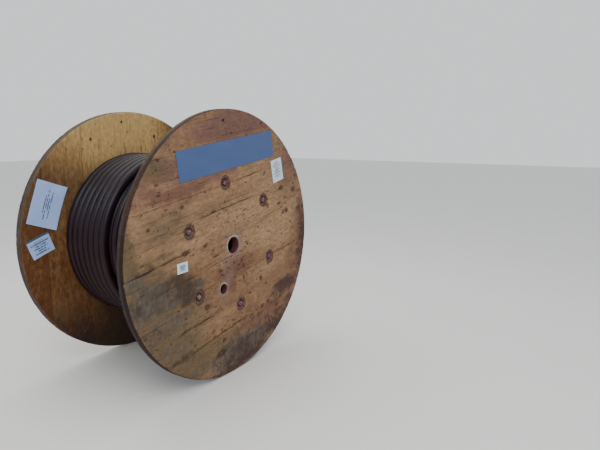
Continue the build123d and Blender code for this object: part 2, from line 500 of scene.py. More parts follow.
def turned(x, z, tilt):
    """A place's distances along and across boards that are tilted by an angle in degrees."""
    c, s = math.cos(math.radians(tilt)), math.sin(math.radians(tilt))
    return x * c + z * s, -x * s + z * c


def along_across(points, tilt):
    """Distances along and across a ply's boards from the drum's axis."""
    return turned(points[..., 0], points[..., 2] - RADIUS, tilt)


def on_face(along, across, tilt):
    """x and height of a place on a ply."""
    c, s = math.cos(math.radians(tilt)), math.sin(math.radians(tilt))
    return along * c - across * s, RADIUS + along * s + across * c


# Stretches of the near outer ply's joints that stand open: joint, start, end, width of the broken edge
OPEN_JOINTS = [
    (0.4265, -0.74, -0.10, 0.004),
    (0.4265, 0.00, 0.42, 0.006),
    (0.2735, -0.32, 0.30, 0.007),
    (0.2735, -0.84, -0.52, 0.004),
    (0.0955, -0.92, -0.42, 0.013),
    (0.0955, 0.36, 0.64, 0.003),
    (-0.0655, -0.42, 0.12, 0.004),
    (-0.0655, 0.40, 0.82, 0.003),
    (-0.2205, -0.60, -0.26, 0.004),
    (-0.2205, 0.00, 0.76, 0.005),
    (-0.3875, -0.68, -0.18, 0.010),
    (-0.3875, 0.60, 0.80, 0.003),
    (-0.5525, -0.48, 0.06, 0.007),
    (-0.7225, -0.20, 0.12, 0.006),
]
# How much of the joints stands open on the plies that the list above leaves out
LOOSENESS = {"near_inner": 0.0, "far_inner": -0.35, "far_outer": 0.15}
# Width of the gap in a tight joint, and the reach of the boards that meet the rim
TIGHT = 0.0009
RIM_BOARD_REACH = 0.98 * RADIUS
# Wear of a board's face: least depth, how unevenly boards lie, cupping, slope of a broken edge, rim chips
LEAST_DEPTH = 0.0004
UNEVENNESS = 0.0007
CUPPING = 0.0006
BREAK_SLOPE = 0.16
CHIP_DEPTH = 0.0048
CHIP_WIDTH = 0.006
BOARD_SHARP_ANGLE = 35


def opening(ply, joint, along, seed):
    """How far a joint stands open along its length, from 0 to 1, and the width of its broken edge."""
    if ply != "near_outer":
        loose = np.clip(1.6 * waves(along / 0.3, 0.5 + joint * 31, seed) + LOOSENESS[ply], 0, 1)
        return loose, 0.003 * loose
    loose, width = np.zeros_like(along), np.zeros_like(along)
    for place, start, end, size in OPEN_JOINTS:
        if abs(place - joint) < 0.01:
            inside = np.clip((along - start) / 0.09, 0, 1) * np.clip((end - along) / 0.09, 0, 1)
            ragged = np.clip(0.75 + 0.7 * waves(along / 0.05, 7, seed), 0.1, 1.4)
            loose = np.maximum(loose, inside * ragged * min(1.0, size / 0.007))
            width = np.maximum(width, inside * ragged * size)
    return loose, width


def edge_shift(loose, along, seed):
    """How far a board's long edge is from its drawn place: out to its neighbour, or worn back."""
    wear = sizes().edge_wear * (1 + 0.6 * waves(along / 0.05, 0, seed) + 0.4 * waves(along / 0.011, 3, seed))
    return loose * (0.5 * TIGHT + wear) - TIGHT


def board_rows(low, high, spacing):
    """Places across a board, from 0 to 1, close together near its edges."""
    width = high - low
    near = [0, 0.0012, 0.004, 0.009, 0.016]
    inner = np.linspace(near[-1], width - near[-1], max(4, int((width - 0.032) / spacing)))
    return np.array(near[:-1] + list(inner) + [width - d for d in reversed(near[:-1])]) / width


def board_grid(low, high, step):
    """Places along and across a board's face inside the round outline, closer together near its edges."""
    rows = board_rows(low, high, step * 0.85)
    shares = rows
    if high > RIM_BOARD_REACH or low < -RIM_BOARD_REACH:
        # A rim board narrows to nothing, so its rows close up towards the rim
        turn = 1 - (1 - rows) ** 2 if high > 0 else rows ** 2
        shares = 0.4 * rows + 0.6 * turn
    ends = np.array([0, 0.002, 0.005, 0.010, 0.020])
    count = int(2 * RIM_BOARD_REACH / step)
    across = low + shares * (high - low)
    half = np.sqrt(np.maximum(RADIUS ** 2 - across ** 2, 1e-8))
    grid_u, grid_v = [], []
    for v, c in zip(across, half):
        d = ends * min(1.0, c / 0.1)
        middle = np.linspace(-c + d[-1], c - d[-1], count)
        grid_u.append(np.concatenate([-c + d[:-1], middle, (c - d[:-1])[::-1]]))
        grid_v.append(np.full(len(grid_u[-1]), v))
    return np.array(grid_u), np.array(grid_v)


def board_faces(rows, columns, rim):
    """Faces of a board: its shown grid, the walls to its hidden points, and strips across its hidden side."""
    faces = grid_faces(rows, columns)
    hidden = {place: rows * columns + k for k, place in enumerate(rim)}
    for a, b in zip(rim, rim[1:] + rim[:1]):
        faces.append((a[0] * columns + a[1], hidden[a], hidden[b], b[0] * columns + b[1]))
    for j in range(columns - 1):
        bottom_a, bottom_b = hidden[0, j], hidden[0, j + 1]
        top_a, top_b = hidden[rows - 1, j], hidden[rows - 1, j + 1]
        left = [hidden[i, 0] for i in range(1, rows - 1)] if j == 0 else []
        right = [hidden[i, columns - 1] for i in range(1, rows - 1)] if j == columns - 2 else []
        faces.append((bottom_a, bottom_b, *right, top_b, top_a, *reversed(left)))
    return faces


def board_mesh(name, ply, number):
    """One sawn board: a worn, slightly cupped face inside the flange's round outline."""
    tilt, face, hidden, looks = PLIES[ply]
    across = along_across(node_points(name), tilt)[1]
    seed = number * 17 + len(ply) * 5 + int(looks) + 40
    edge = RADIUS * 0.99965
    low, high = max(across.min(), -edge), min(across.max(), edge)
    u, v = board_grid(low, high, sizes().shown_step if ply == "near_outer" else sizes().board_step)
    share = (v - low) / (high - low)
    lower_loose, lower_bevel = opening(ply, low, u, seed)
    upper_loose, upper_bevel = opening(ply, high, u, seed + 5)
    lower = edge_shift(lower_loose, u, seed) * (low > -RIM_BOARD_REACH)
    upper = edge_shift(upper_loose, u, seed + 5) * (high < RIM_BOARD_REACH)
    v = v + lower * (1 - share) - upper * share
    limit = np.sqrt(np.maximum(RADIUS ** 2 - v ** 2, 1e-8))
    u = np.clip(u, -limit, limit)
    from_edge = np.minimum(share, 1 - share) * (high - low)
    from_rim = RADIUS - np.sqrt(u ** 2 + v ** 2)
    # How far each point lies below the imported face: grain, cupping, worn and broken edges, chipped rim
    sunk = LEAST_DEPTH + UNEVENNESS * lattice(np.array(number), np.array(3), seed)
    fine = 0.6 * waves(u / 0.12, v / 0.006, seed)
    coarse = 0.4 * waves(u / 0.5, v / 0.02, seed + 1)
    sunk = sunk + sizes().face_relief * (1 + fine + coarse)
    middle = (share - 0.5) * 2
    sunk = sunk + CUPPING * middle ** 2 * (1 if number % 2 else -0.3) + 0.0003
    loose = np.where(share < 0.5, lower_loose, upper_loose)
    rounding = 0.0003 + loose * (0.0008 + 0.0005 * waves(u / 0.07, number, seed + 2))
    sunk = sunk + rounding * np.exp(-from_edge / 0.0018)
    # A board's lower edge is broken further back than its upper one
    sunk = sunk + BREAK_SLOPE * np.maximum(0, 1.5 * lower_bevel - share * (high - low))
    sunk = sunk + BREAK_SLOPE * np.maximum(0, 0.4 * upper_bevel - (1 - share) * (high - low))
    chips = 1 + 0.9 * np.maximum(0, waves(u / 0.03 + v / 0.02, v / 0.03, seed + 3))
    sunk = sunk + CHIP_DEPTH * chips * np.clip(1 - from_rim / (CHIP_WIDTH * chips), 0, 1) ** 1.5
    x, z = on_face(u, v, tilt)
    shown = np.stack([x, face - looks * np.maximum(sunk, 0.0), z], -1)
    rim = grid_border(*u.shape)
    points = list(shown.reshape(-1, 3)) + [(x[place], hidden, z[place]) for place in rim]
    return mesh_from(name + "_worn", points, board_faces(*u.shape, rim), BOARD_SHARP_ANGLE)


# How far the cutters reach past a ply, and the chamfer of its small holes
CUT_PAST = 0.01
SMALL_CHAMFER = 0.002
# Holes through both plies: radius, chamfer in the outer ply, place and points round them
DRILLED_HOLES = (
    (SPINDLE_RADIUS, 0.008, (0, 0), 56),
    (DRIVE_HOLE_RADIUS, 0.007, DRIVE_HOLE, 40),
    (LASHING_HOLE_RADIUS, 0.002, LASHING_HOLE, 24),
)


def hole_cutter(ply):
    """Everything that is drilled out of a ply, as one closed mesh."""
    face, looks = PLIES[ply].face, PLIES[ply].looks
    out = face + looks * CUT_PAST
    back = PLIES[ply].hidden - looks * CUT_PAST
    seat = face - looks * COUNTERBORE_DEPTH
    outer = "outer" in ply

    def drilled(corners, steps, centre):
        return spun([(0, back), *corners, (0, out)], steps, centre)

    parts = []
    for radius, chamfer, centre, steps in DRILLED_HOLES:
        chamfer = chamfer if outer else SMALL_CHAMFER
        corners = [(radius, back), (radius, face - looks * chamfer)]
        if outer:
            corners.append((radius + chamfer * 0.25, face - looks * chamfer * 0.45))
        corners += [(radius + chamfer, face), (radius + chamfer, out)]
        parts.append(drilled(corners, steps, centre))
    wide = COUNTERBORE_RADIUS + SMALL_CHAMFER
    counterbore = [
        (ROD_HOLE_RADIUS, back), (ROD_HOLE_RADIUS, seat), (COUNTERBORE_RADIUS, seat),
        (COUNTERBORE_RADIUS, face - looks * SMALL_CHAMFER), (wide, face), (wide, out),
    ]
    rod_hole = [(ROD_HOLE_RADIUS, back), (ROD_HOLE_RADIUS, out)]
    for centre in ROD_PLACES:
        parts.append(drilled(counterbore, 44, centre) if outer else drilled(rod_hole, 20, centre))
    mesh = mesh_from(ply + "_holes", *join_parts(parts))
    cutter = bpy.data.objects.new(ply + "_holes", mesh)
    bpy.context.scene.collection.objects.link(cutter)
    return cutter


def hole_places(spindle, drive, lashing, rod):
    """x, height above the axis and radius of every hole in a flange, with a radius given for each kind."""
    places = [(0, 0, spindle), (*DRIVE_HOLE, drive), (*LASHING_HOLE, lashing)]
    return places + [(x, z, rod) for x, z in ROD_PLACES]


def touches_hole(mesh, ply):
    """Whether a board reaches one of the holes."""
    tilt = PLIES[ply].tilt
    across = along_across(mesh_points(mesh), tilt)[1]
    holes = ((turned(x, z, tilt)[1], r) for x, z, r in hole_places(0.07, 0.045, 0.015, 0.052))
    return any(across.min() - r < place < across.max() + r for place, r in holes)


def cut_out(piece, cutter):
    """Cuts the holes into a board and keeps the result as its mesh."""
    cut = piece.modifiers.new("holes", "BOOLEAN")
    cut.object = cutter
    cut.operation = "DIFFERENCE"
    cut.solver = "EXACT"
    bpy.context.view_layer.update()
    graph = bpy.context.evaluated_depsgraph_get()
    done = bpy.data.meshes.new_from_object(piece.evaluated_get(graph))
    piece.modifiers.clear()
    old = piece.data
    piece.data = done
    bpy.data.meshes.remove(old)
    smooth_faces(done, BOARD_SHARP_ANGLE)


# Patches of the near flange: x and height from the axis, half sizes along and across the boards, strength
GREY_PATCHES = [
    (-0.70, -0.20, 0.24, 0.13, 0.85), (-0.82, -0.06, 0.12, 0.06, 0.7), (-0.60, -0.38, 0.26, 0.10, 0.6),
    (-0.56, -0.56, 0.26, 0.09, 0.5), (0.08, -0.77, 0.36, 0.12, 1.0), (0.34, -0.74, 0.22, 0.08, 0.7),
    (0.84, 0.16, 0.10, 0.06, 0.45), (-0.30, -0.78, 0.22, 0.06, 0.5),
    (-0.60, 0.70, 0.14, 0.07, 0.5), (-0.55, 0.20, 0.24, 0.07, 0.3), (0.55, 0.66, 0.24, 0.08, 0.4),
    (-0.35, -0.30, 0.18, 0.07, 0.4), (0.0, 0.82, 0.5, 0.08, 0.3), (0.72, -0.48, 0.2, 0.1, 0.3),
    (-0.44, -0.21, 0.18, 0.08, 0.8),
]
DARK_PATCHES = [
    (0.60, -0.42, 0.22, 0.09, 0.85), (0.50, -0.68, 0.30, 0.12, 0.75), (0.20, -0.51, 0.09, 0.03, 0.4),
    (-0.52, -0.11, 0.15, 0.045, 0.75), (-0.46, -0.63, 0.20, 0.045, 0.6), (-0.42, -0.27, 0.15, 0.06, 0.7),
    (0.03, -0.86, 0.42, 0.05, 0.85), (0.70, -0.56, 0.18, 0.11, 0.65), (-0.66, 0.035, 0.20, 0.025, 0.6),
    (0.86, -0.14, 0.08, 0.26, 0.5), (-0.74, -0.44, 0.14, 0.10, 0.5), (-0.84, -0.24, 0.07, 0.20, 0.5),
    (-0.15, -0.72, 0.09, 0.04, 0.55), (0.74, 0.40, 0.16, 0.07, 0.3), (-0.85, 0.20, 0.06, 0.24, 0.4),
    (0.20, -0.66, 0.60, 0.20, 0.40), (0.78, -0.20, 0.20, 0.45, 0.42), (-0.62, -0.58, 0.36, 0.25, 0.20),
    (-0.70, -0.22, 0.26, 0.22, 0.40), (-0.10, -0.20, 0.26, 0.10, 0.22), (0.62, 0.60, 0.30, 0.20, 0.25),
    (-0.03, -0.27, 0.05, 0.07, 0.35), (0.84, 0.20, 0.12, 0.30, 0.42), (-0.68, -0.42, 0.22, 0.20, 0.30),
    (0.60, -0.56, 0.34, 0.22, 0.40), (-0.10, -0.62, 0.40, 0.14, 0.25), (-0.10, -0.48, 0.34, 0.10, 0.26),
    (0.50, -0.36, 0.26, 0.08, 0.20), (0.14, -0.80, 0.30, 0.10, 0.62), (0.87, 0.05, 0.09, 0.36, 0.62),
    (0.85, -0.26, 0.11, 0.24, 0.75), (-0.46, -0.17, 0.17, 0.10, 0.90),
    (0.87, -0.08, 0.09, 0.24, 0.80), (0.10, -0.77, 0.34, 0.12, 0.66),
    (0.15, -0.28, 0.09, 0.05, 0.45), (-0.20, -0.41, 0.16, 0.06, 0.32),
]
RED_PATCHES = [
    (0.05, 0.80, 0.55, 0.13, 0.95), (-0.40, 0.55, 0.50, 0.11, 0.85), (-0.30, 0.46, 0.50, 0.06, 0.8),
    (0.68, 0.52, 0.28, 0.22, 0.8), (0.86, 0.00, 0.14, 0.30, 0.95), (0.00, -0.17, 0.26, 0.085, 0.85),
    (0.36, -0.58, 0.42, 0.12, 0.8), (0.76, -0.26, 0.20, 0.20, 0.75), (-0.10, -0.26, 0.18, 0.06, 0.6),
    (0.10, 0.36, 0.55, 0.06, 0.50), (0.50, -0.32, 0.24, 0.10, 0.4), (-0.50, 0.33, 0.30, 0.06, 0.65),
    (-0.02, 0.10, 0.14, 0.14, 0.40), (-0.20, -0.48, 0.30, 0.05, 0.35), (-0.03, -0.27, 0.06, 0.08, 0.9),
    (-0.70, 0.40, 0.26, 0.07, 0.75), (0.12, -0.14, 0.16, 0.07, 0.7), (0.15, -0.50, 0.26, 0.07, 0.6),
    (-0.05, -0.36, 0.30, 0.08, 0.55), (-0.48, 0.40, 0.42, 0.055, 0.95),
]
OLIVE_PATCHES = [
    (-0.60, 0.20, 0.32, 0.15, 0.70), (-0.67, 0.53, 0.15, 0.08, 0.85), (-0.45, -0.70, 0.38, 0.14, 0.9),
    (-0.72, -0.54, 0.24, 0.16, 0.9), (-0.30, -0.36, 0.26, 0.08, 0.30), (-0.87, 0.05, 0.08, 0.32, 1.0),
    (-0.22, 0.27, 0.22, 0.05, 0.6), (-0.45, -0.02, 0.24, 0.07, 0.45), (0.66, 0.30, 0.24, 0.10, 0.5),
    (-0.10, -0.66, 0.36, 0.09, 0.7), (0.35, -0.34, 0.16, 0.06, 0.4), (0.20, 0.15, 0.30, 0.05, 0.35),
    (0.50, 0.18, 0.24, 0.05, 0.35), (0.10, -0.56, 0.30, 0.05, 0.4), (-0.72, -0.26, 0.28, 0.34, 0.95),
    (-0.56, -0.50, 0.36, 0.24, 0.95), (-0.1, -0.70, 0.6, 0.14, 0.5),
]
STRAW_PATCHES = [
    (0.46, 0.05, 0.40, 0.13, 1.0), (0.24, 0.22, 0.38, 0.09, 0.6), (0.64, 0.17, 0.20, 0.07, 0.8),
    (-0.36, 0.12, 0.22, 0.07, 0.45), (0.38, -0.24, 0.30, 0.06, 0.4), (-0.16, -0.47, 0.28, 0.04, 0.4),
    (-0.45, -0.02, 0.20, 0.04, 0.5), (0.40, 0.40, 0.30, 0.05, 0.3), (-0.62, 0.40, 0.28, 0.08, 0.55),
    (-0.44, -0.43, 0.16, 0.06, 0.6),
]
# Where the near flange is less bleached and more orange
TAN_PATCHES = [
    (-0.20, -0.28, 0.36, 0.14, 0.50), (0.10, -0.40, 0.72, 0.10, 0.55), (-0.12, -0.52, 0.36, 0.08, 0.45),
    (0.12, -0.16, 0.26, 0.09, 0.50),
]
# Where the near flange carries many small marks
MARKED_PATCHES = [
    (0.02, -0.16, 0.26, 0.10, 1.25), (0.00, 0.16, 0.26, 0.08, 0.8), (0.14, -0.26, 0.14, 0.08, 0.7),
    (-0.25, 0.03, 0.20, 0.06, 0.6), (0.60, 0.28, 0.28, 0.14, 0.5), (0.32, -0.50, 0.32, 0.09, 0.8),
    (-0.20, -0.62, 0.24, 0.10, 0.7), (-0.28, -0.36, 0.18, 0.08, 0.6), (-0.62, 0.34, 0.24, 0.13, 0.5),
    (0.40, 0.25, 0.14, 0.06, 0.5), (-0.55, -0.45, 0.26, 0.12, 0.5), (0.10, -0.74, 0.30, 0.08, 0.5),
    (0.0, 0.72, 0.5, 0.08, 0.5), (0.7, -0.1, 0.18, 0.12, 0.4), (-0.5, 0.58, 0.3, 0.08, 0.5),
]
# Single dark blots of the near flange, in the same form
BLOTS = [
    (-0.271, 0.043, 0.022, 0.013, 1.0), (-0.441, 0.027, 0.040, 0.020, 1.0),
    (0.556, 0.346, 0.034, 0.019, 1.0), (0.529, 0.231, 0.032, 0.011, 1.0),
    (0.624, 0.163, 0.024, 0.020, 0.9), (0.102, -0.244, 0.014, 0.024, 1.0),
    (0.299, -0.299, 0.020, 0.020, 1.0), (-0.142, -0.149, 0.018, 0.012, 1.0),
    (-0.136, -0.719, 0.045, 0.025, 1.0), (-0.109, -0.638, 0.024, 0.016, 0.9),
    (-0.265, -0.366, 0.050, 0.035, 0.6), (0.685, 0.068, 0.020, 0.011, 0.9),
    (-0.461, 0.309, 0.017, 0.013, 0.8), (0.387, -0.502, 0.020, 0.014, 1.0),
    (0.312, -0.516, 0.024, 0.018, 1.0), (-0.217, -0.543, 0.034, 0.020, 0.7),
    (0.122, 0.228, 0.034, 0.009, 0.9), (0.387, 0.228, 0.022, 0.022, 0.8),
    (-0.176, -0.041, 0.036, 0.010, 1.0), (0.665, -0.111, 0.016, 0.008, 1.0),
    (0.081, -0.118, 0.018, 0.012, 1.0), (0.000, -0.119, 0.014, 0.011, 1.0),
    (0.054, -0.148, 0.022, 0.012, 1.0), (0.102, -0.156, 0.012, 0.012, 1.0),
    (-0.068, -0.142, 0.012, 0.010, 1.0), (-0.075, -0.100, 0.018, 0.009, 1.0),
    (-0.300, 0.145, 0.020, 0.010, 0.6), (0.420, -0.010, 0.014, 0.008, 0.7),
    (0.730, 0.330, 0.030, 0.022, 0.6), (0.345, 0.455, 0.016, 0.008, 0.8),
    (-0.640, -0.640, 0.030, 0.016, 0.8), (0.540, -0.500, 0.030, 0.020, 0.8),
    (-0.08, 0.30, 0.012, 0.02, 0.7),
]
# Knots of the near flange: x, height from the axis, radius along and across the boards
NEAR_KNOTS = [
    (-0.452, 0.030, 0.018, 0.012), (0.560, 0.345, 0.018, 0.013), (0.720, 0.320, 0.020, 0.018),
    (0.632, 0.163, 0.016, 0.014), (-0.270, -0.360, 0.022, 0.016), (0.300, -0.300, 0.013, 0.012),
    (-0.112, -0.636, 0.014, 0.011), (-0.150, -0.722, 0.018, 0.013), (0.535, 0.231, 0.016, 0.007),
    (-0.461, 0.311, 0.011, 0.009), (0.385, -0.206, 0.012, 0.008), (0.500, -0.555, 0.014, 0.011),
    (-0.560, -0.765, 0.012, 0.010), (0.350, 0.470, 0.010, 0.008), (-0.720, 0.210, 0.012, 0.010),
]
# Knots of the far flange's inner boards, which show above and beside the cable
FAR_INNER_KNOTS = [
    (-0.610, -0.360, 0.012, 0.010), (-0.790, -0.370, 0.018, 0.012), (-0.690, -0.140, 0.022, 0.009),
    (-0.300, -0.540, 0.020, 0.012), (-0.350, 0.700, 0.012, 0.008), (0.220, 0.720, 0.014, 0.010),
    (0.520, 0.560, 0.016, 0.012), (0.700, 0.100, 0.018, 0.012), (0.640, -0.420, 0.016, 0.012),
    (-0.500, -0.660, 0.014, 0.010), (0.100, -0.760, 0.018, 0.012),
]


def seeded_numbers(number, count, seed):
    """So many numbers between 0 and 1 that belong to one item of a list."""
    return (float(lattice(np.array(number), np.array(q), seed)) for q in range(count))


def seeded_knots(seed, count, inner=0.0):
    """Knots for a ply that the photo doesn't show."""
    knots = []
    for k in range(count):
        a, b, c, d = seeded_numbers(k, 4, seed)
        r, t = inner + (0.84 - inner) * math.sqrt(a), 2 * math.pi * b
        knots.append((r * math.cos(t), r * math.sin(t), 0.012 + 0.014 * c, 0.009 + 0.009 * d))
    return knots


KNOTS = {
    "near_outer": NEAR_KNOTS,
    "near_inner": seeded_knots(5, 16, 0.62),
    "far_inner": FAR_INNER_KNOTS,
    "far_outer": seeded_knots(11, 26),
}


class BoardPoints:
    """Where the points of one board's mesh lie on its ply."""

    def __init__(self, mesh, ply, number):
        co = mesh_points(mesh)
        self.ply = ply
        self.number = number
        self.outer = "outer" in ply
        self.seed = number * 7 + len(ply)
        self.along, self.across = along_across(co, PLIES[ply].tilt)
        self.x, self.z = co[:, 0], co[:, 2] - RADIUS
        self.reach = np.hypot(self.x, self.z)
        self.depth = np.abs(co[:, 1] - PLIES[ply].face)

    def seen_from(self, x, z):
        """Distances along and across the boards from a place on the ply."""
        return turned(self.x - x, self.z - z, PLIES[self.ply].tilt)

    def patches(self, table, seed):
        """The strongest of some soft patches at each point, ragged along the boards."""
        strongest = np.zeros_like(self.x)
        coarse = 0.35 * waves(self.x / 0.09, self.z / 0.03, seed)
        fine = 0.2 * waves(self.x / 0.03, self.z / 0.012, seed + 1)
        ragged = 1 + coarse + fine
        for x, z, along, across, strength in table:
            u, v = self.seen_from(x, z)
            d = (u / along) ** 2 + (v / across) ** 2
            strongest = np.maximum(strongest, strength * np.exp(-0.9 * (d * ragged) ** 1.3))
        return np.clip(strongest, 0, 1)


def seeded_patches(seed, count, low, high):
    """Patches for a ply that the photo doesn't show, with a least and a most length."""
    patches = []
    for k in range(count):
        a, b, c, d, e = seeded_numbers(k, 5, seed)
        r, t = 0.9 * math.sqrt(a), 2 * math.pi * b
        length, width, strength = low + (high - low) * c, 0.03 + 0.08 * d, 0.4 + 0.6 * e
        patches.append((r * math.cos(t), r * math.sin(t), length, width, strength))
    return patches


class Stains:
    """How strongly each stain, painted shade and painted light shows at the points of a board."""

    def __init__(self, board):
        none = np.zeros_like(board.x)
        self.grey = self.dark = self.red = self.olive = self.straw = self.marks = none
        self.pale = self.worn = self.blots = self.dirt = self.rim = none

    def deepen(self, **layers):
        """Makes stains at least as strong as the values given for them."""
        for name, values in layers.items():
            setattr(self, name, np.maximum(getattr(self, name), values))


def store(mesh, name, kind, values):
    """Keeps a value for each point of a mesh under a name that the shaders read."""
    layer = mesh.attributes.new(name, kind, "POINT")
    key = "vector" if kind == "FLOAT_VECTOR" else "color"
    layer.data.foreach_set(key, np.asarray(values, np.float32).ravel())


def run_round_knots(board, stain):
    """Place of the grain across the boards, which runs round the knots, and the dirt in them."""
    flow = board.across.copy()
    for x, z, a, b in KNOTS[board.ply]:
        u, v = board.seen_from(x, z)
        d = np.sqrt((u / (a * 3.2)) ** 2 + (v / (b * 2.6)) ** 2)
        flow = flow - np.sign(v) * b * 0.9 * np.exp(-d * d) * np.clip(np.abs(v) / (b * 0.5), 0, 1)
        close = np.sqrt((u / (a * 1.1)) ** 2 + (v / (b * 1.1)) ** 2)
        stain.deepen(dirt=0.4 * np.exp(-np.maximum(0, close - 0.8) * 2.5) * (close < 3))
    return flow + 0.004 * waves(board.along / 0.35, board.number, board.seed)


def stain_near_outer(board, stain):
    """The near flange's stains, patch by patch."""
    x, z = board.x, board.z
    tables = (GREY_PATCHES, DARK_PATCHES, RED_PATCHES, OLIVE_PATCHES, STRAW_PATCHES, MARKED_PATCHES)
    stain.grey, stain.dark, stain.red, stain.olive, stain.straw, stain.marks = (
        board.patches(table, 3 + k) for k, table in enumerate(tables))
    stain.straw = stain.straw - board.patches(TAN_PATCHES, 14)
    stain.blots = board.patches(BLOTS, 12)
    # A worn grey band runs down past the spindle hole
    band = np.exp(-((x + 0.065 + 0.02 * waves(z / 0.1, 0, 6)) / 0.05) ** 2)
    stain.pale = 0.4 * band * np.clip((0.14 - z) / 0.08, 0, 1) * np.clip((z + 0.42) / 0.12, 0, 1)


def stain_far_outer(board, stain):
    """Scattered stains for the face that the photo doesn't show."""
    stain.grey, stain.dark, stain.red, stain.olive, stain.straw, stain.marks = (
        0.7 * board.patches(seeded_patches(21 + k, 18, 0.12, 0.40), 30 + k) for k in range(6))


def stain_inner(board, stain):
    """Inner boards: painted yellow sunlight at the top, and painted shade that darkens them towards the
    ground.
    """
    x, z = board.x, board.z
    stain.grey = board.patches(seeded_patches(27, 10, 0.05, 0.2), 11) * 0.35
    # Painted shade, darker towards the ground
    stain.dark = np.clip((-z - 0.05) / 0.75, 0, 1) ** 1.2 * 0.95
    stain.red = np.clip(0.5 - z, 0, 1) * 0.4
    # Painted sunlight: a yellow pool high on the boards, fading to the left and cut off quickly to the right,
    # carried in the straw channel
    high = np.clip((z - 0.30 - 0.35 * np.clip(-x - 0.25, 0, 1)) / 0.40, 0, 1)
    inside = 1.3 - 1.1 * np.maximum(0, -x - 0.15) - 3.2 * np.maximum(0, x + 0.02)
    stain.straw = 1.4 * high * np.clip(inside, 0, 1)
    stain.olive = 0.6 * np.clip((z + 0.1) / 0.4, 0, 1) * np.clip((0.9 - z) / 0.5, 0, 1)
    stain.marks = 0.3 * board.patches(seeded_patches(28, 16, 0.04, 0.1), 13)


STAIN_PLY = {
    "near_outer": stain_near_outer,
    "near_inner": stain_inner,
    "far_inner": stain_inner,
    "far_outer": stain_far_outer,
}
# Worn holes: place, radius, width of the worn ring and how deep it reaches over the edge
WORN_HOLES = (
    ((0, 0), SPINDLE_RADIUS, 0.013, 0.002),
    (DRIVE_HOLE, DRIVE_HOLE_RADIUS, 0.005, 0.0025),
)
# How far from a hole's wall a point still counts as part of it, and how wide the rim's worn corner is
WALL_REACH = 0.012
RIM_BAND = 0.005


def wear_holes(board, stain):
    """Wood worn pale round the spindle and drive holes, and a dark red painted shade on their walls; gives
    the points inside.
    """
    in_hole = np.zeros_like(board.x)
    for place, size, width, edge in WORN_HOLES:
        u, v = board.seen_from(*place)
        d = np.hypot(u, v)
        inside = d < size + WALL_REACH
        wall = np.ones_like(d)
        if board.outer:
            ragged = 1 + 0.5 * waves(np.arctan2(v, u) * 4, d / 0.02, board.seed)
            faded = 0.72 * ragged * np.exp(-(np.maximum(0, d - size) / (size * 0.75)) ** 2)
            upper_left = np.clip(0.40 + (1.0 * v - 0.45 * u) / np.maximum(d, 0.01), 0.10, 1)
            ring = np.exp(-(np.maximum(0, d - size - 0.006) / width) ** 2) * upper_left
            stain.deepen(pale=faded, worn=ring * (board.depth < edge + 0.001))
            wall = np.clip((board.depth - edge) / 0.003, 0, 1)
        # Painted shade on the hole walls: darker, and dark red through the hole shade colour; on the outer
        # plies only below the worn edge
        stain.deepen(dark=0.62 * wall * inside, red=2.0 * wall * inside)
        in_hole = np.maximum(in_hole, inside)
    return in_hole


def dirty_joints(board, stain):
    """Dirt in the joints, and a band of dark wood and painted shade beside them, which reaches further above
    a joint than below it.
    """
    low, high = board.across.min(), board.across.max()
    sides = ((low, board.across - low, 0, 2.4), (high, high - board.across, 5, 0.6))
    for joint, distance, more, spread in sides:
        if abs(joint) >= RADIUS * 0.97:
            continue
        loose, bevel = opening(board.ply, joint, board.along, board.seed + more)
        strength = 0.06 + loose * (0.30 + 0.2 * waves(board.along / 0.1, board.number, board.seed + 3))
        dirt = strength * np.exp(-np.maximum(distance, 0) / (0.002 + 0.002 * loose))
        # Painted shade beside an open joint, wider on the board above it
        reach_in = bevel * spread + 0.002
        blots = (0.15 + 0.5 * loose) * np.exp(-(distance / reach_in) ** 2) * (bevel > 0.001)
        stain.deepen(dirt=dirt, blots=blots)


def stain_round_iron(board, stain, nails):
    """Dark blots round the nails, marks round the bolts, and rust that runs down from their washers."""
    for nail in nails:
        u, v = board.seen_from(*nail)
        stain.deepen(blots=0.8 * np.exp(-(u / 0.010) ** 2 - (v / 0.0075) ** 2))
    for rod in ROD_PLACES:
        u, v = board.seen_from(*rod)
        if board.outer:
            stain.deepen(marks=0.8 * np.exp(-np.maximum(0, np.hypot(u, v) - 0.048) / 0.012))
        stain.deepen(red=0.8 * np.exp(-np.maximum(0, np.hypot(u, v + 0.006) - 0.046) / 0.010))


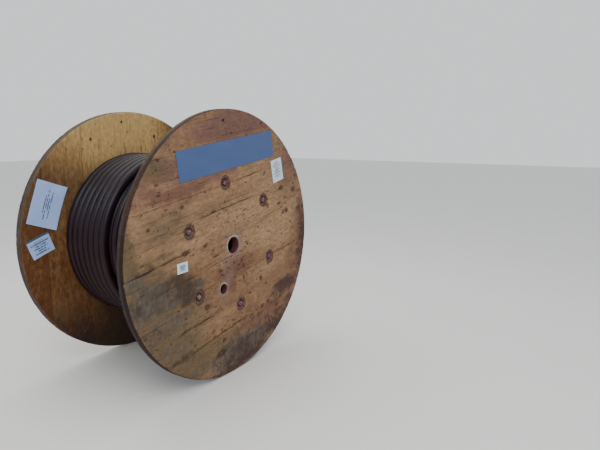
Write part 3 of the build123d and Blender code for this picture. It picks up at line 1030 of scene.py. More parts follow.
def wear_rim(board, stain):
    """Scuffed corners and chipped flakes of the rim, which is dark or has weathered grey."""
    depth, seed = board.depth, board.seed
    on_rim = np.clip((board.reach - (RADIUS - RIM_BAND)) / 0.003, 0, 1)
    angle = np.arctan2(board.z, board.x)
    scuffs = np.clip(0.55 + 1.2 * waves(angle * 14, 0.5, seed) + 0.5 * waves(angle * 60, 1.5, seed), 0, 1)
    flakes = np.clip(1.6 * waves(angle * 70, 4.5, seed + 6) + waves(angle * 16, 2.5, seed) - 0.4, 0, 1)
    if board.outer:
        rim = on_rim * np.clip((depth - 0.002) / 0.003, 0, 1)
        pale = 0.9 * on_rim * scuffs * np.clip((0.005 - depth) / 0.003, 0, 1)
        worn = 0.9 * on_rim * flakes * np.clip((0.0065 - depth) / 0.002, 0, 1)
    else:
        rim = on_rim * np.maximum(np.clip((depth - 0.003) / 0.003, 0, 1), 1.05 - 0.6 * scuffs)
        pale = on_rim * scuffs * np.clip((0.007 - depth) / 0.003, 0, 1)
        worn = 0.8 * on_rim * flakes * np.clip((0.008 - depth) / 0.004, 0, 1)
    # The far flange's rim and the near one's upper half have weathered grey
    bleached = on_rim * (0.72 if board.ply.startswith("far") else 0.15 * np.clip((board.z + 0.1) / 0.5, 0, 1))
    stain.deepen(pale=pale, worn=worn, grey=bleached * 1.1)
    stain.rim = rim * (1 - 0.8 * bleached)
    if board.outer:
        # The face darkens towards the rim
        stain.deepen(dark=0.5 * np.clip((board.reach - RADIUS + 0.05) / 0.05, 0, 1))


def weather(mesh, ply, number, nails):
    """Stores a board's grain coordinates, its stains and its painted shade and light at the points of its
    mesh.
    """
    board = BoardPoints(mesh, ply, number)
    stain = Stains(board)
    flow = run_round_knots(board, stain)
    STAIN_PLY[ply](board, stain)
    in_hole = wear_holes(board, stain)
    dirty_joints(board, stain)
    stain_round_iron(board, stain, nails)
    # Painted shade: points sunk below the face, in counterbores, hole walls and open gaps, darken with depth;
    # less of it inside the spindle and drive holes, none at the rim
    deep = np.clip((board.depth - 0.006) / 0.014, 0, 1) * (0.75 - 0.70 * in_hole)
    stain.deepen(dirt=deep * (board.reach < RADIUS - WALL_REACH))
    wear_rim(board, stain)
    dirt = np.clip(stain.dirt, 0, 1)
    toss = np.full_like(board.x, float(lattice(np.array(number), np.array(1), 31 + len(ply))))
    grain = (board.along + 2.3 * number, flow + 0.31 * number, board.depth)
    store(mesh, "grain", "FLOAT_VECTOR", np.stack(grain, -1))
    store(mesh, "stains", "FLOAT_COLOR", np.stack([stain.grey, stain.dark, stain.red, stain.olive], -1))
    store(mesh, "wear", "FLOAT_COLOR", np.stack([dirt, stain.straw, stain.rim, stain.marks], -1))
    store(mesh, "toss", "FLOAT_COLOR", np.stack([toss, stain.pale, stain.worn, stain.blots], -1))


def wood(name, light, middle, dark, dark_left, rim, ragged=1.0, speckle=0.08, freshness=0.30):
    """Weathered sawn pine with the stains, painted shade and painted sunlight that its mesh carries; the dark
    ones differ on the drum's left half.
    """
    s = Shader(name)
    place = s.place()
    grain = s.stored("grain").out("Vector")
    stains, wear, toss = s.stored("stains"), s.stored("wear"), s.stored("toss")
    grey, damp_and_shade, red = s.split_colour(stains.out("Color"))
    dirt, straw, rim_mask = s.split_colour(wear.out("Color"))
    olive, marks, blots = stains.out("Alpha"), wear.out("Alpha"), toss.out("Alpha")
    board_tone, pale, worn = s.split_colour(toss.out("Color"))
    fibre = s.noise(s.scaled(grain, (9.0, 420.0, 420.0)), detail=3, rough=0.6)
    streak = s.noise(s.scaled(grain, (3.0, 75.0, 75.0)), detail=4, rough=0.62)
    band = s.noise(s.scaled(grain, (1.2, 22.0, 22.0)), detail=3, rough=0.55, warp=0.4)
    blotch = s.noise(s.scaled(grain, (5.0, 12.0, 12.0)), detail=5, rough=0.68)
    smear = s.noise(s.scaled(grain, (11.0, 36.0, 36.0)), detail=5, rough=0.68)
    mottle = s.noise(s.scaled(grain, (26.0, 46.0, 46.0)), detail=4, rough=0.68)
    grit = s.noise(s.scaled(grain, (50.0, 90.0, 90.0)), detail=3, rough=0.6)
    cloud = (s.noise(place, scale=17.0, detail=5, rough=0.70, warp=0.8) - 0.5) * ragged + 0.5
    brush = s.noise(s.scaled(place, (46.0, 46.0, 11.0)), detail=5, rough=0.66, warp=0.7)
    _, across, depth = s.split(grain)
    rings = ((across * 85.0 + band * 8.0 + depth * 60.0).fraction() - 0.5).absolute() * 2.0
    late_wood = rings.rise(0.5, 0.98) * (0.3 + 0.7 * streak.rise(0.35, 0.65))
    uneven = ((blotch - 0.5) * 1.3 + (mottle - 0.5) * 0.8) * ragged
    # straw is bleaching on the outer plies and painted sunlight high on the inner ones
    tone = (straw * 0.80 + uneven * 1.2 + (board_tone - 0.5) * 0.5 * ragged + freshness).clamp()
    base = s.mix(tone, middle, light)
    x, _, z = s.split(place)
    red_tone = s.mix(z.rise(1.15, 1.50), colour("russet"), colour("pink"))
    base = s.mix((red + uneven * 0.6 + (cloud - 0.5) * 1.1).rise(0.25, 0.95), base, red_tone)
    base = s.mix((olive + uneven * 0.6 + (smear - 0.5) * 1.2).rise(0.25, 0.95) * 0.85, base, colour("olive"))
    late = streak.rise(0.5, 0.85) * 0.4 + late_wood * 0.18 + smear.rise(0.52, 0.68) * 0.5
    base = s.mix(late.clamp(), base, colour("brown"))
    base = s.mix((pale + (brush - 0.5) * 0.9 * pale.rise(0.0, 0.3)).clamp() * 0.8, base, colour("lilac"))
    grey_mask = (grey + uneven * 0.6 + (cloud - 0.5) * 1.1).rise(0.20, 0.85)
    base = s.mix(grey_mask * 0.85, base, colour("grey"))
    base = s.mix((grey_mask * brush.rise(0.44, 0.70)) * 0.50, base, colour("pale_grey"))
    # Dark wet stains, and painted shade on the hole walls and low on the inner boards
    damp_and_shade_mask = (damp_and_shade + uneven * 0.7 + (cloud - 0.5) * 1.05).rise(0.28, 0.88)
    base = s.mix(damp_and_shade_mask * 0.88, base, s.mix(x.rise(-0.30, 0.15), dark_left, dark))
    spots = (grit * 0.85 + (mottle - 0.5) * 0.5 + marks * 0.12).rise(0.60, 0.72) * 0.8
    for scale, growth in (((15.0, 34.0, 34.0), 0.16), ((38.0, 62.0, 62.0), 0.20)):
        distance, chance, size = s.cells(s.scaled(grain, scale))
        present = (marks * 0.60 + speckle - chance).rise(0.0, 0.05)
        outline = distance + (grit - 0.5) * 0.9 + (mottle - 0.5) * 0.6 - size * growth
        spots = spots.larger(present * (1.0 - outline.rise(0.04, 0.16)))
    # Dark blots, and the painted shade beside open joints
    spots = spots.larger((blots + (grit - 0.5) * 1.0 + (mottle - 0.5) * 0.6).rise(0.30, 0.85))
    base = s.mix(spots * 0.80, base, colour("mark"))
    check = s.noise(s.scaled(grain, (2.2, 130.0, 130.0)), detail=2, rough=0.4).rise(0.66, 0.72)
    base = s.mix(check * 0.45, base, colour("dirt"))
    bare = (worn * (1.0 - depth.rise(0.0075, 0.0105)) * (1.0 + uneven * 0.8)).rise(0.30, 0.75) * 0.85
    base = s.mix(bare, base, colour("worn"))
    base = s.mix((rim_mask * (1.0 - bare) * (0.98 + (grit - 0.5) * 0.5)).clamp(), base, rim)
    # Dirt in joints and round knots, and painted shade in recesses below the face
    base = s.mix((dirt * 1.1 + (grit - 0.5) * 0.6 * dirt).clamp(), base, colour("dirt"))
    # Painted shade: dark red on the walls of the spindle and drive holes
    base = s.mix(red.rise(1.3, 1.6), base, colour("painted_hole_shade"))
    shade = (fibre - 0.5) * 0.5 + (mottle - 0.5) * 1.1 + (smear - 0.5) * 0.6 + 1.0
    base = s.mix(1.0, base, s.vector(shade, shade, shade), blend="MULTIPLY")
    height = fibre * 0.45 + streak * 0.8 - late_wood * 0.25 - check * 1.6 - spots * 0.4 + mottle * 0.3
    normal = s.bump(height, 0.0006, 0.8)
    rough = 0.76 + 0.14 * blotch + dirt * 0.08 - damp_and_shade_mask * 0.10
    return s.finish(base, rough, normal, Specular_IOR_Level=0.22)


# Nails of the near flange that show best in the photo: x and height from the axis
NEAR_NAILS = [
    (-0.468, 0.309), (-0.613, 0.285), (-0.570, 0.197), (-0.190, 0.147), (-0.132, 0.111), (-0.102, 0.142),
    (-0.047, 0.163), (0.007, 0.165), (0.031, 0.237), (-0.129, 0.231), (-0.052, 0.224), (0.054, 0.149),
    (0.156, 0.147), (-0.231, 0.077), (0.102, 0.095), (0.081, 0.065), (0.133, 0.038), (0.129, 0.000),
    (0.186, -0.020), (0.125, -0.034), (-0.027, -0.071), (0.081, -0.054), (0.041, -0.081), (-0.102, -0.102),
    (0.115, -0.179), (0.027, -0.204), (0.149, -0.299), (-0.617, 0.027), (0.630, 0.060), (-0.061, 0.773),
    (0.010, 0.790), (-0.536, 0.563), (-0.672, 0.366), (0.700, 0.560), (0.790, 0.300), (0.830, 0.090),
    (0.780, -0.320), (0.560, -0.640), (0.240, -0.820), (-0.330, -0.800), (-0.690, -0.500), (-0.820, -0.180),
    (-0.840, 0.080), (-0.760, 0.300), (0.470, -0.360), (-0.080, -0.480), (-0.480, -0.420), (0.400, 0.560),
]


def ring_of_nails(radius, count, start, seed, wander):
    """Nails round a circle, each a little off its place."""
    places = []
    for k in range(count):
        a = start + 2 * math.pi * (k + 0.35 * float(waves(k * 1.7, 0.5, seed))) / count
        r = radius + wander * float(waves(k * 2.3, 1.5, seed))
        places.append((r * math.cos(a), r * math.sin(a)))
    return places


# Rings of nails of the far outer ply: radius, count, and how far a nail strays
FAR_NAIL_RINGS = ((0.16, 14, 0.02), (0.23, 12, 0.03), (0.46, 16, 0.04), (0.66, 12, 0.05), (0.83, 18, 0.03))


def nail_places(ply):
    """Nails that fix the plies together and the flange to the barrel, clear of holes and sheets."""
    if ply == "near_outer":
        places = NEAR_NAILS
    elif ply == "far_outer":
        places = []
        for k, (radius, count, wander) in enumerate(FAR_NAIL_RINGS):
            places += ring_of_nails(radius, count, 0.3 * k, 9 + k, wander)
    else:
        places = ring_of_nails(0.79, 12, 0.1, 14, 0.05) + ring_of_nails(0.68, 8, 0.3, 15, 0.05)
    holes = hole_places(0.07, 0.05, 0.03, 0.058)
    clear = [p for p in places if all(math.hypot(p[0] - x, p[1] - z) > r for x, z, r in holes)]
    return [p for p in clear if not under_sheet(ply, *p)]


SHEETS_OF = {"near_outer": ("near_sign", "near_label", "near_tag"), "far_inner": ("far_sheet", "far_label")}
# How far round a sheet no nail or knot is set
SHEET_MARGIN = 0.008


def under_sheet(ply, x, z):
    """Whether a place on a ply lies under one of its sheets or close beside it."""
    for node in SHEETS_OF.get(ply, ()):
        corner, *sides = sheet_corners(node)
        place = Vector((x - corner.x, 0, z + RADIUS - corner.z))
        if all(-SHEET_MARGIN < place.dot(side) / side.length < side.length + SHEET_MARGIN for side in sides):
            return True
    return False


def sheet_corners(node):
    """Lower left corner of a packed sheet and its two sides, as vectors."""
    points = node_points(node)
    places = sorted({(round(p[0], 5), round(p[2], 5)) for p in points})
    flat = [Vector((x, 0, z)) for x, z in places]
    lowest = min(flat, key=lambda p: p.x + p.z)
    others = sorted((p for p in flat if p != lowest), key=lambda p: (p - lowest).length)
    sides = [p - lowest for p in others[:2]]
    right = max(sides, key=lambda v: v.x)
    up = max(sides, key=lambda v: v.z)
    return Vector((lowest.x, points[:, 1].min(), lowest.z)), right, up


def make_ply(ply, material):
    """Builds, drills and weathers the boards of a ply."""
    nails = nail_places(ply)
    cutter = hole_cutter(ply)
    for number in range(1, BOARDS_IN_PLY + 1):
        node = f"{ply}_board_{number:02d}"
        mesh = board_mesh(node, ply, number)
        piece = add_piece(node + "_worn", mesh, material, [node])
        if touches_hole(mesh, ply):
            cut_out(piece, cutter)
        weather(piece.data, ply, number, nails)
    bpy.data.objects.remove(cutter)


class DRUM_OT_outer_boards(bpy.types.Operator):
    """Builds the worn boards of both flanges' outer plies"""

    bl_idname = "drum.outer_boards"
    bl_label = "Outer boards"

    def execute(self, context):
        material = wood("weathered_outer_boards", colour("straw"), colour("tan"), colour("purple"),
                        colour("umber"), colour("outer_rim"))
        make_ply("near_outer", material)
        make_ply("far_outer", material)
        return {"FINISHED"}


class DRUM_OT_inner_boards(bpy.types.Operator):
    """Builds the worn boards of both flanges' inner plies"""

    bl_idname = "drum.inner_boards"
    bl_label = "Inner boards"

    def execute(self, context):
        # Its light colour is painted sunlight, and its dark colours are the painted shade low on the boards
        # and in the holes
        material = wood("warm_inner_boards", colour("inner_painted_sunlight"), colour("inner_warm"), colour("dirt"),
                        colour("dirt"), colour("inner_rim"), ragged=0.5, speckle=0.03, freshness=0.10)
        make_ply("near_inner", material)
        make_ply("far_inner", material)
        return {"FINISHED"}


class DRUM_OT_barrel(bpy.types.Operator):
    """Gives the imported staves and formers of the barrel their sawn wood"""

    bl_idname = "drum.barrel"
    bl_label = "Barrel"

    def execute(self, context):
        s = Shader("barrel_wood")
        place = s.place()
        fibre = s.noise(s.scaled(place, (160.0, 6.0, 160.0)), detail=4, rough=0.6)
        streak = s.noise(s.scaled(place, (30.0, 1.5, 30.0)), detail=3, rough=0.6)
        blotch = s.noise(place, scale=7.0, detail=3)
        base = s.mix(blotch, colour("tan"), colour("straw"))
        base = s.mix(streak.rise(0.45, 0.75) * 0.6, base, colour("brown"))
        normal = s.bump(fibre + streak, 0.0005, 0.7)
        material = s.finish(base, 0.72 + 0.2 * fibre, normal, Specular_IOR_Level=0.3)
        for node in ("barrel_staves", "near_formers", "far_formers"):
            paint_node(node, material)
        return {"FINISHED"}


def paint_node(node, material):
    """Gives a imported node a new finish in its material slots."""
    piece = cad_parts[node]
    if not piece.material_slots:
        piece.data.materials.append(material)
    for slot in piece.material_slots:
        slot.material = material


# Cable

CABLE_RADIUS = 0.0285
FIRST_LAYER_RADIUS = 0.5235
SECOND_LAYER_RADIUS = 0.5715
TURN_COUNT = 16
OUTER_LAYER_TURNS = 7
# Flatness of the turns that bear the second layer, and the share of a turn that the last one stops short
PRESSED = 0.84
END_SHORTENING = 0.12
# Where each turn crosses over to the next, in degrees
CROSSOVER_START = 296.0
CROSSOVER_LENGTH = 46.0
# The shrunk cap on the cable's end: distance from the end, and radius
CAP_RINGS = (
    (-0.050, 0.0290), (-0.048, 0.0300), (0.0, 0.0300), (0.004, 0.0298), (0.012, 0.0275),
    (0.018, 0.0230), (0.021, 0.0150), (0.022, 0.0060),
)
CAP_SIDES = 20


def winding_path():
    """Middle line of the wound cable: (angle, distance from the axis, place along the axis, flatness)."""
    pitch = 2 * INNER_FACE / TURN_COUNT
    first_shown = TURN_COUNT - OUTER_LAYER_TURNS
    places = [-INNER_FACE + pitch * (k + 0.5) for k in range(TURN_COUNT)]
    # The turns that bear the second layer are pressed flatter
    pressed = FIRST_LAYER_RADIUS - CABLE_RADIUS * (1 - PRESSED)
    rows = [(y, FIRST_LAYER_RADIUS, 1.0) for y in places[:first_shown]]
    rows += [(y, pressed, PRESSED) for y in places[first_shown:]]
    rows += [(y, SECOND_LAYER_RADIUS, 1.0) for y in reversed(places[first_shown:])]
    steps = sizes().cable_steps
    path = []
    for turn, (y, r, flat) in enumerate(rows):
        next_y, next_r, next_flat = rows[min(turn + 1, len(rows) - 1)]
        for k in range(steps):
            angle = CROSSOVER_START + CROSSOVER_LENGTH + 360.0 * k / steps
            progress = (360.0 * k / steps - (360.0 - CROSSOVER_LENGTH)) / CROSSOVER_LENGTH
            t = min(1.0, max(0.0, progress))
            t = t * t * (3 - 2 * t)
            wobble = 0.0009 * float(waves(angle / 40 + turn * 9, turn, 5))
            out, along = r + (next_r - r) * t, y + (next_y - y) * t + wobble
            path.append((angle, out, along, flat + (next_flat - flat) * t))
    return path[:-int(steps * END_SHORTENING)]


def cross_section(place, ahead):
    """Directions outwards and sideways at a place on the cable, both square to it."""
    out = Vector((place.x, 0, place.z - RADIUS)).normalized()
    across = ahead.cross(out).normalized()
    return across.cross(ahead).normalized(), across


def cable_ring(centre, directions, radius, flat, turns, side):
    """Points round the cable, flatter outwards and kept between the flanges."""
    out, across = directions
    ring = []
    for t in turns:
        p = centre + radius * (flat * math.cos(t) * out + math.sin(t) * across)
        p.y = max(-side, min(side, p.y))
        ring.append(p)
    return ring


class DRUM_OT_winding(bpy.types.Operator):
    """Builds the wound cable turn by turn, with its crossovers and its sealed end"""

    bl_idname = "drum.winding"
    bl_label = "Wound cable"

    def execute(self, context):
        path = winding_path()
        centres = []
        for angle, r, y, _ in path:
            a = math.radians(angle)
            centres.append(Vector((r * math.cos(a), y, RADIUS + r * math.sin(a))))
        sides = sizes().cable_sides
        turns = [2 * math.pi * (q + 0.5) / sides for q in range(sides)]
        points = []
        for k, centre in enumerate(centres):
            before, after = centres[max(0, k - 1)], centres[min(len(centres) - 1, k + 1)]
            directions = cross_section(centre, (after - before).normalized())
            points += cable_ring(centre, directions, CABLE_RADIUS, path[k][3], turns, INNER_FACE - 0.0003)
        mesh = mesh_from("wound_turns", points, closed_tube_faces(len(centres), sides), 60)
        add_piece("wound_turns", mesh, sheath_material(), ["wound_cable"])
        end_cap(centres)
        return {"FINISHED"}


def end_cap(centres):
    """Shrunk cap that seals the cable's end."""
    tip, before = centres[-1], centres[-3]
    ahead = (tip - before).normalized()
    directions = cross_section(tip, ahead)
    turns = [2 * math.pi * q / CAP_SIDES for q in range(CAP_SIDES)]
    points = []
    for along, radius in CAP_RINGS:
        points += cable_ring(tip + ahead * along, directions, radius, 1.0, turns, INNER_FACE)
    mesh = mesh_from("cable_end_cap", points, closed_tube_faces(len(CAP_RINGS), CAP_SIDES), 50)
    s = Shader("shrunk_cap")
    place = s.place()
    blotch = s.noise(place, scale=60.0, detail=3)
    base = s.mix(blotch.rise(0.5, 0.8) * 0.5, colour("sheath"), colour("dust"))
    normal = s.bump(s.noise(place, scale=220.0, detail=2), 0.0003, 0.5)
    add_piece("cable_end_cap", mesh, s.finish(base, 0.3 + 0.25 * blotch, normal))


def sheath_material():
    """Black plastic sheath with scuffs and dust, and a painted bluish sky sheen on the upper turns."""
    s = Shader("black_sheath")
    place = s.place()
    blotch = s.noise(place, scale=6.0, detail=4, rough=0.6)
    scuff = s.noise(s.scaled(place, (30.0, 160.0, 30.0)), detail=3, rough=0.7)
    speck = s.noise(place, scale=230.0, detail=2, rough=0.6)
    dusty = blotch.rise(0.45, 0.75) * 0.2 + scuff.rise(0.58, 0.8) * 0.3 + speck.rise(0.62, 0.8) * 0.2
    dusty = dusty.clamp()
    # Painted sky sheen: the upper turns go bluish and their dust lighter
    height = s.split(place)[2]
    high = (height + (blotch - 0.5) * 0.3).rise(0.80, 1.25)
    base = s.mix(high, colour("sheath"), colour("sheath_painted_sky_sheen"))
    base = s.mix(dusty, base, s.mix(high, colour("dust"), colour("dust_and_painted_sky_sheen")))
    normal = s.bump(speck * 0.4 + scuff * 0.6, 0.0003, 0.45)
    return s.finish(base, 0.27 + 0.18 * blotch + 0.2 * dusty, normal, Specular_IOR_Level=0.22)


# Bolts

WASHER_THICKNESS = 0.004
WASHER_SINK = 0.0035
NUT_HEIGHT = 0.016
NUT_CHAMFER = 0.0016
NUT_HALF_WIDTH = 0.015
NUT_BORE = 0.0102
NUT_STEPS = 36
THREAD_PITCH = 0.0025
THREAD_START = 0.001
THREAD_STOP = 0.031
THREAD_RADIUS = 0.0099
THREAD_ROOT = 0.0086


def rust_material(name="rusted_steel", steel="rust", bare="bare_steel_and_glints", least=0.56):
    """Rusty steel that shows bare spots where a noise is above a least value."""
    s = Shader(name)
    place = s.place()
    blotch = s.noise(place, scale=55.0, detail=4, rough=0.65)
    fine = s.noise(place, scale=420.0, detail=3, rough=0.7)
    right = s.split(place)[0].rise(-0.30, 0.05)
    base = s.mix(blotch.rise(0.4, 0.65) * 0.6, colour(steel), (0.13, 0.065, 0.045))
    base = s.mix((1.0 - right) * 0.7, base, colour("brown_rust"))
    base = s.mix(fine.rise(0.3, 0.45) * 0.5 + 0.5, colour("dirt"), base)
    base = s.mix((fine + (blotch - 0.5) * 0.5).rise(least, least + 0.14) * 0.7, base, colour(bare))
    normal = s.bump(fine + blotch * 0.5, 0.0005, 0.8)
    return s.finish(base, 0.62 + 0.25 * blotch, normal, Metallic=0.25, Specular_IOR_Level=0.4)


def nut_part(centre, low, looks):
    """A hexagon nut with chamfered corners: points and faces."""
    heights = (0.0, 0.0, NUT_CHAMFER, NUT_HEIGHT - NUT_CHAMFER, NUT_HEIGHT, NUT_HEIGHT)
    turn = 0.35 * float(waves(centre[0] * 31, (RADIUS + centre[1]) * 17, 2))
    points = []
    for k in range(NUT_STEPS):
        a = 2 * math.pi * k / NUT_STEPS
        sector = (a + math.pi / 6) % (math.pi / 3) - math.pi / 6
        edge = NUT_HALF_WIDTH / math.cos(sector)
        low_edge = min(edge, NUT_HALF_WIDTH * 1.03)
        c, s = math.cos(a + turn), math.sin(a + turn)
        for r, y in zip((NUT_BORE, low_edge, edge, edge, low_edge, NUT_BORE), heights):
            points.append((centre[0] + r * c, low + looks * y, RADIUS + centre[1] + r * s))
    return points, lathe_faces(NUT_STEPS, len(heights))


def rod_part(centre):
    """A tie rod with a thread at each end: points and faces."""
    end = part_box("tie_rods")[1].y
    profile = [(0, -end), (0.0082, -end)]
    start, stop = -end + THREAD_START, -end + THREAD_STOP
    while start < stop:
        profile += [
            (THREAD_RADIUS, start + THREAD_PITCH * 0.3),
            (THREAD_RADIUS, start + THREAD_PITCH * 0.5),
            (THREAD_ROOT, start + THREAD_PITCH),
        ]
        start += THREAD_PITCH
    profile.append((THREAD_RADIUS, stop + 0.003))
    profile += [(r, -y) for r, y in reversed(profile)]
    return spun(profile, 20, centre)


def washer_profile(side):
    """A pressed washer: a cup for the nut inside a flat rim just below the boards' face."""
    seat = side * (OUTER_FACE - COUNTERBORE_DEPTH)
    top = seat + side * WASHER_THICKNESS
    rim = side * (OUTER_FACE - WASHER_SINK)
    under = rim - side * 0.003
    return [
        (ROD_HOLE_RADIUS, seat), (0.0250, seat), (0.0275, seat + side * 0.002),
        (0.0330, under), (0.0460, under), (0.0467, under + side * 0.0006),
        (0.0467, rim - side * 0.0008), (0.0458, rim), (0.0335, rim),
        (0.0308, rim - side * 0.0015), (0.0250, top + side * 0.001), (0.0240, top),
        (0.0110, top), (ROD_HOLE_RADIUS, top - side * 0.0005),
    ]


class DRUM_OT_bolts(bpy.types.Operator):
    """Builds the tie rods, washers and nuts with their chamfers and threads"""

    bl_idname = "drum.bolts"
    bl_label = "Tie rods, washers and nuts"

    def execute(self, context):
        rust = rust_material()
        # Nuts and rod ends show more bare steel: worn spots, and painted glints on the nuts
        rubbed_and_glinting = rust_material("rubbed_steel", least=0.47)
        rods = [rod_part(centre) for centre in ROD_PLACES]
        add_parts("threaded_rods", rods, 30, rubbed_and_glinting, ["tie_rods"])
        for side, prefix in ((-1, "near"), (1, "far")):
            washers = [lathe(washer_profile(side), 44, centre) for centre in ROD_PLACES]
            add_parts(prefix + "_cup_washers", washers, 50, rust, [prefix + "_washers"])
            top = side * (OUTER_FACE - COUNTERBORE_DEPTH + WASHER_THICKNESS)
            nuts = [nut_part(centre, top, side) for centre in ROD_PLACES]
            add_parts(prefix + "_hexagon_nuts", nuts, 25, rubbed_and_glinting, [prefix + "_nuts"])
        return {"FINISHED"}


def nail_part(place, face, looks, number):
    """A nail with its head just below the face of the boards: points and faces."""
    size = sizes().nail_head / 2 * (1 + 0.2 * float(waves(number * 1.3, 2.5, 6)))
    top = face - looks * (0.0004 + 0.0003 * float(waves(number * 2.1, 0.5, 8)))
    profile = [
        (0, face - looks * 0.012), (size * 0.4, face - looks * 0.012), (size * 0.45, top - looks * 0.003),
        (size, top - looks * 0.0016), (size * 0.96, top - looks * 0.0004), (size * 0.55, top),
        (0, top + looks * 0.0002),
    ]
    return spun(profile, 10, place)


class DRUM_OT_nails(bpy.types.Operator):
    """Drives the nails into the flanges, as one mesh for each ply"""

    bl_idname = "drum.nails"
    bl_label = "Nails"

    def execute(self, context):
        rust = rust_material("rusted_nails", "mark", "rust")
        for name, ply in PLIES.items():
            parts = [nail_part(place, ply.face, ply.looks, k) for k, place in enumerate(nail_places(name))]
            add_parts(name + "_nails", parts, 40, rust)
        return {"FINISHED"}


class DRUM_OT_knots(bpy.types.Operator):
    """Sets the knots into the boards, as one mesh for each ply"""

    bl_idname = "drum.knots"
    bl_label = "Knots"

    def execute(self, context):
        s = Shader("knot_wood")
        local = s.stored("knot").out("Vector")
        u, v, _ = s.split(local)
        reach = (u * u + v * v) ** 0.5
        wobble = s.noise(s.scaled(local, (2.2, 2.2, 9.0)), detail=3, rough=0.6)
        rings = ((reach + (wobble - 0.5) * 0.35) * 5.0).fraction()
        base = s.mix(rings.rise(0.2, 0.9) * 0.75, colour("brown"), colour("mark"))
        base = s.mix(reach.rise(0.72, 0.98), base, colour("dirt"))
        crack = (wobble - 0.5).absolute().rise(0.0, 0.03)
        base = s.mix(crack, colour("dirt"), base)
        normal = s.bump(crack * 0.7 + rings * 0.3, 0.0006, 0.8)
        material = s.finish(base, 0.6 + 0.25 * wobble, normal, Specular_IOR_Level=0.35)
        for name, ply in PLIES.items():
            parts, places = [], []
            for k, knot in enumerate(KNOTS[name]):
                if not hits_hole(*knot) and not under_sheet(name, *knot[:2]):
                    part, local = knot_part(*knot, ply, k)
                    parts.append(part)
                    places += local
            piece = add_parts(name + "_knots", parts, 60, material)
            store(piece.data, "knot", "FLOAT_VECTOR", places)
        return {"FINISHED"}


def hits_hole(x, z, a, b):
    """Whether a knot reaches a hole or the rim."""
    size = max(a, b)
    holes = hole_places(0.066, 0.043, 0.016, 0.052)
    in_hole = any(math.hypot(x - px, z - pz) < r + size for px, pz, r in holes)
    return in_hole or math.hypot(x, z) + size > RADIUS - 0.01


# Outline of a knot's plug: share of its size, and height over the face of the ply
KNOT_RINGS = ((1.0, -0.004), (0.96, -0.0009), (0.75, -0.0006), (0.5, -0.0007), (0.25, -0.0010))
KNOT_MIDDLE = -0.0012
KNOT_SIDES = 22


def knot_part(x, z, a, b, ply, number):
    """A flat plug with an uneven outline, set a little proud of the worn face, and its own coordinates."""
    points, local = [], []
    c, s = math.cos(math.radians(ply.tilt)), math.sin(math.radians(ply.tilt))
    for share, height in KNOT_RINGS:
        for q in range(KNOT_SIDES):
            t = 2 * math.pi * q / KNOT_SIDES
            r = share * (1 + 0.10 * math.sin(2 * t + number) + 0.06 * math.sin(3 * t + 2.1 * number))
            u, v = a * r * math.cos(t), b * r * math.sin(t)
            points.append((x + u * c - v * s, ply.face + ply.looks * height, z + RADIUS + u * s + v * c))
            local.append((share * math.cos(t), share * math.sin(t), float(number)))
    points.append((x, ply.face + ply.looks * KNOT_MIDDLE, z + RADIUS))
    local.append((0.0, 0.0, float(number)))
    faces = tube_faces(len(KNOT_RINGS), KNOT_SIDES)
    middle = len(points) - 1
    last = middle - KNOT_SIDES
    for q in range(KNOT_SIDES):
        faces.append((last + q, last + (q + 1) % KNOT_SIDES, middle))
    faces.append(tuple(range(KNOT_SIDES)))
    return (points, faces), local


# Sign and papers

def sheet_mesh(node, thickness, lift, columns, rows):
    """A thin sheet over a packed one: lift(a, b) bends it away from the flange, a and b from 0 to 1."""
    corner, right, up = sheet_corners(node)
    back = node_points(node)[:, 1].max()
    points, flat = [], []
    for layer in (0, 1):
        for i in range(rows + 1):
            for j in range(columns + 1):
                a, b = j / columns, i / rows
                p = corner + right * a + up * b
                away = lift(a, b) + (thickness if layer == 0 else 0.0)
                points.append((p.x, back - away, p.z))
                flat.append((a * right.length, b * up.length, float(layer)))
    n = columns + 1
    half = (rows + 1) * n
    faces = []
    for front in grid_faces(rows + 1, n):
        faces += [front, tuple(half + front[k] for k in (0, 3, 2, 1))]
    border = grid_border(rows + 1, n)
    for a, b in zip(border, border[1:] + border[:1]):
        p, q = a[0] * n + a[1], b[0] * n + b[1]
        faces.append((p, q, half + q, half + p))
    mesh = mesh_from(node + "_sheet", points, faces, 40)
    store(mesh, "flat", "FLOAT_VECTOR", flat)
    return mesh


def sign_material():
    """Bare blue printed sheet, faded and scratched."""
    s = Shader("faded_blue_sheet")
    flat = s.stored("flat").out("Vector")
    cloud = s.noise(s.scaled(flat, (5.0, 9.0, 1.0)), detail=4, rough=0.55)
    fine = s.noise(s.scaled(flat, (260.0, 260.0, 1.0)), detail=2)
    scratch = s.noise(s.scaled(flat, (14.0, 160.0, 1.0)), detail=3, rough=0.7)
    base = s.mix(cloud.rise(0.35, 0.75) * 0.16, colour("sign_blue"), (0.10, 0.16, 0.30))
    base = s.mix(scratch.rise(0.68, 0.80) * 0.16, base, (0.22, 0.27, 0.38))
    base = s.mix(fine.rise(0.62, 0.75) * 0.15, base, (0.03, 0.045, 0.10))
    normal = s.bump(cloud * 0.8 + fine * 0.1, 0.0006, 0.5)
    return s.finish(base, 0.42 + 0.2 * cloud, normal, Specular_IOR_Level=0.4)


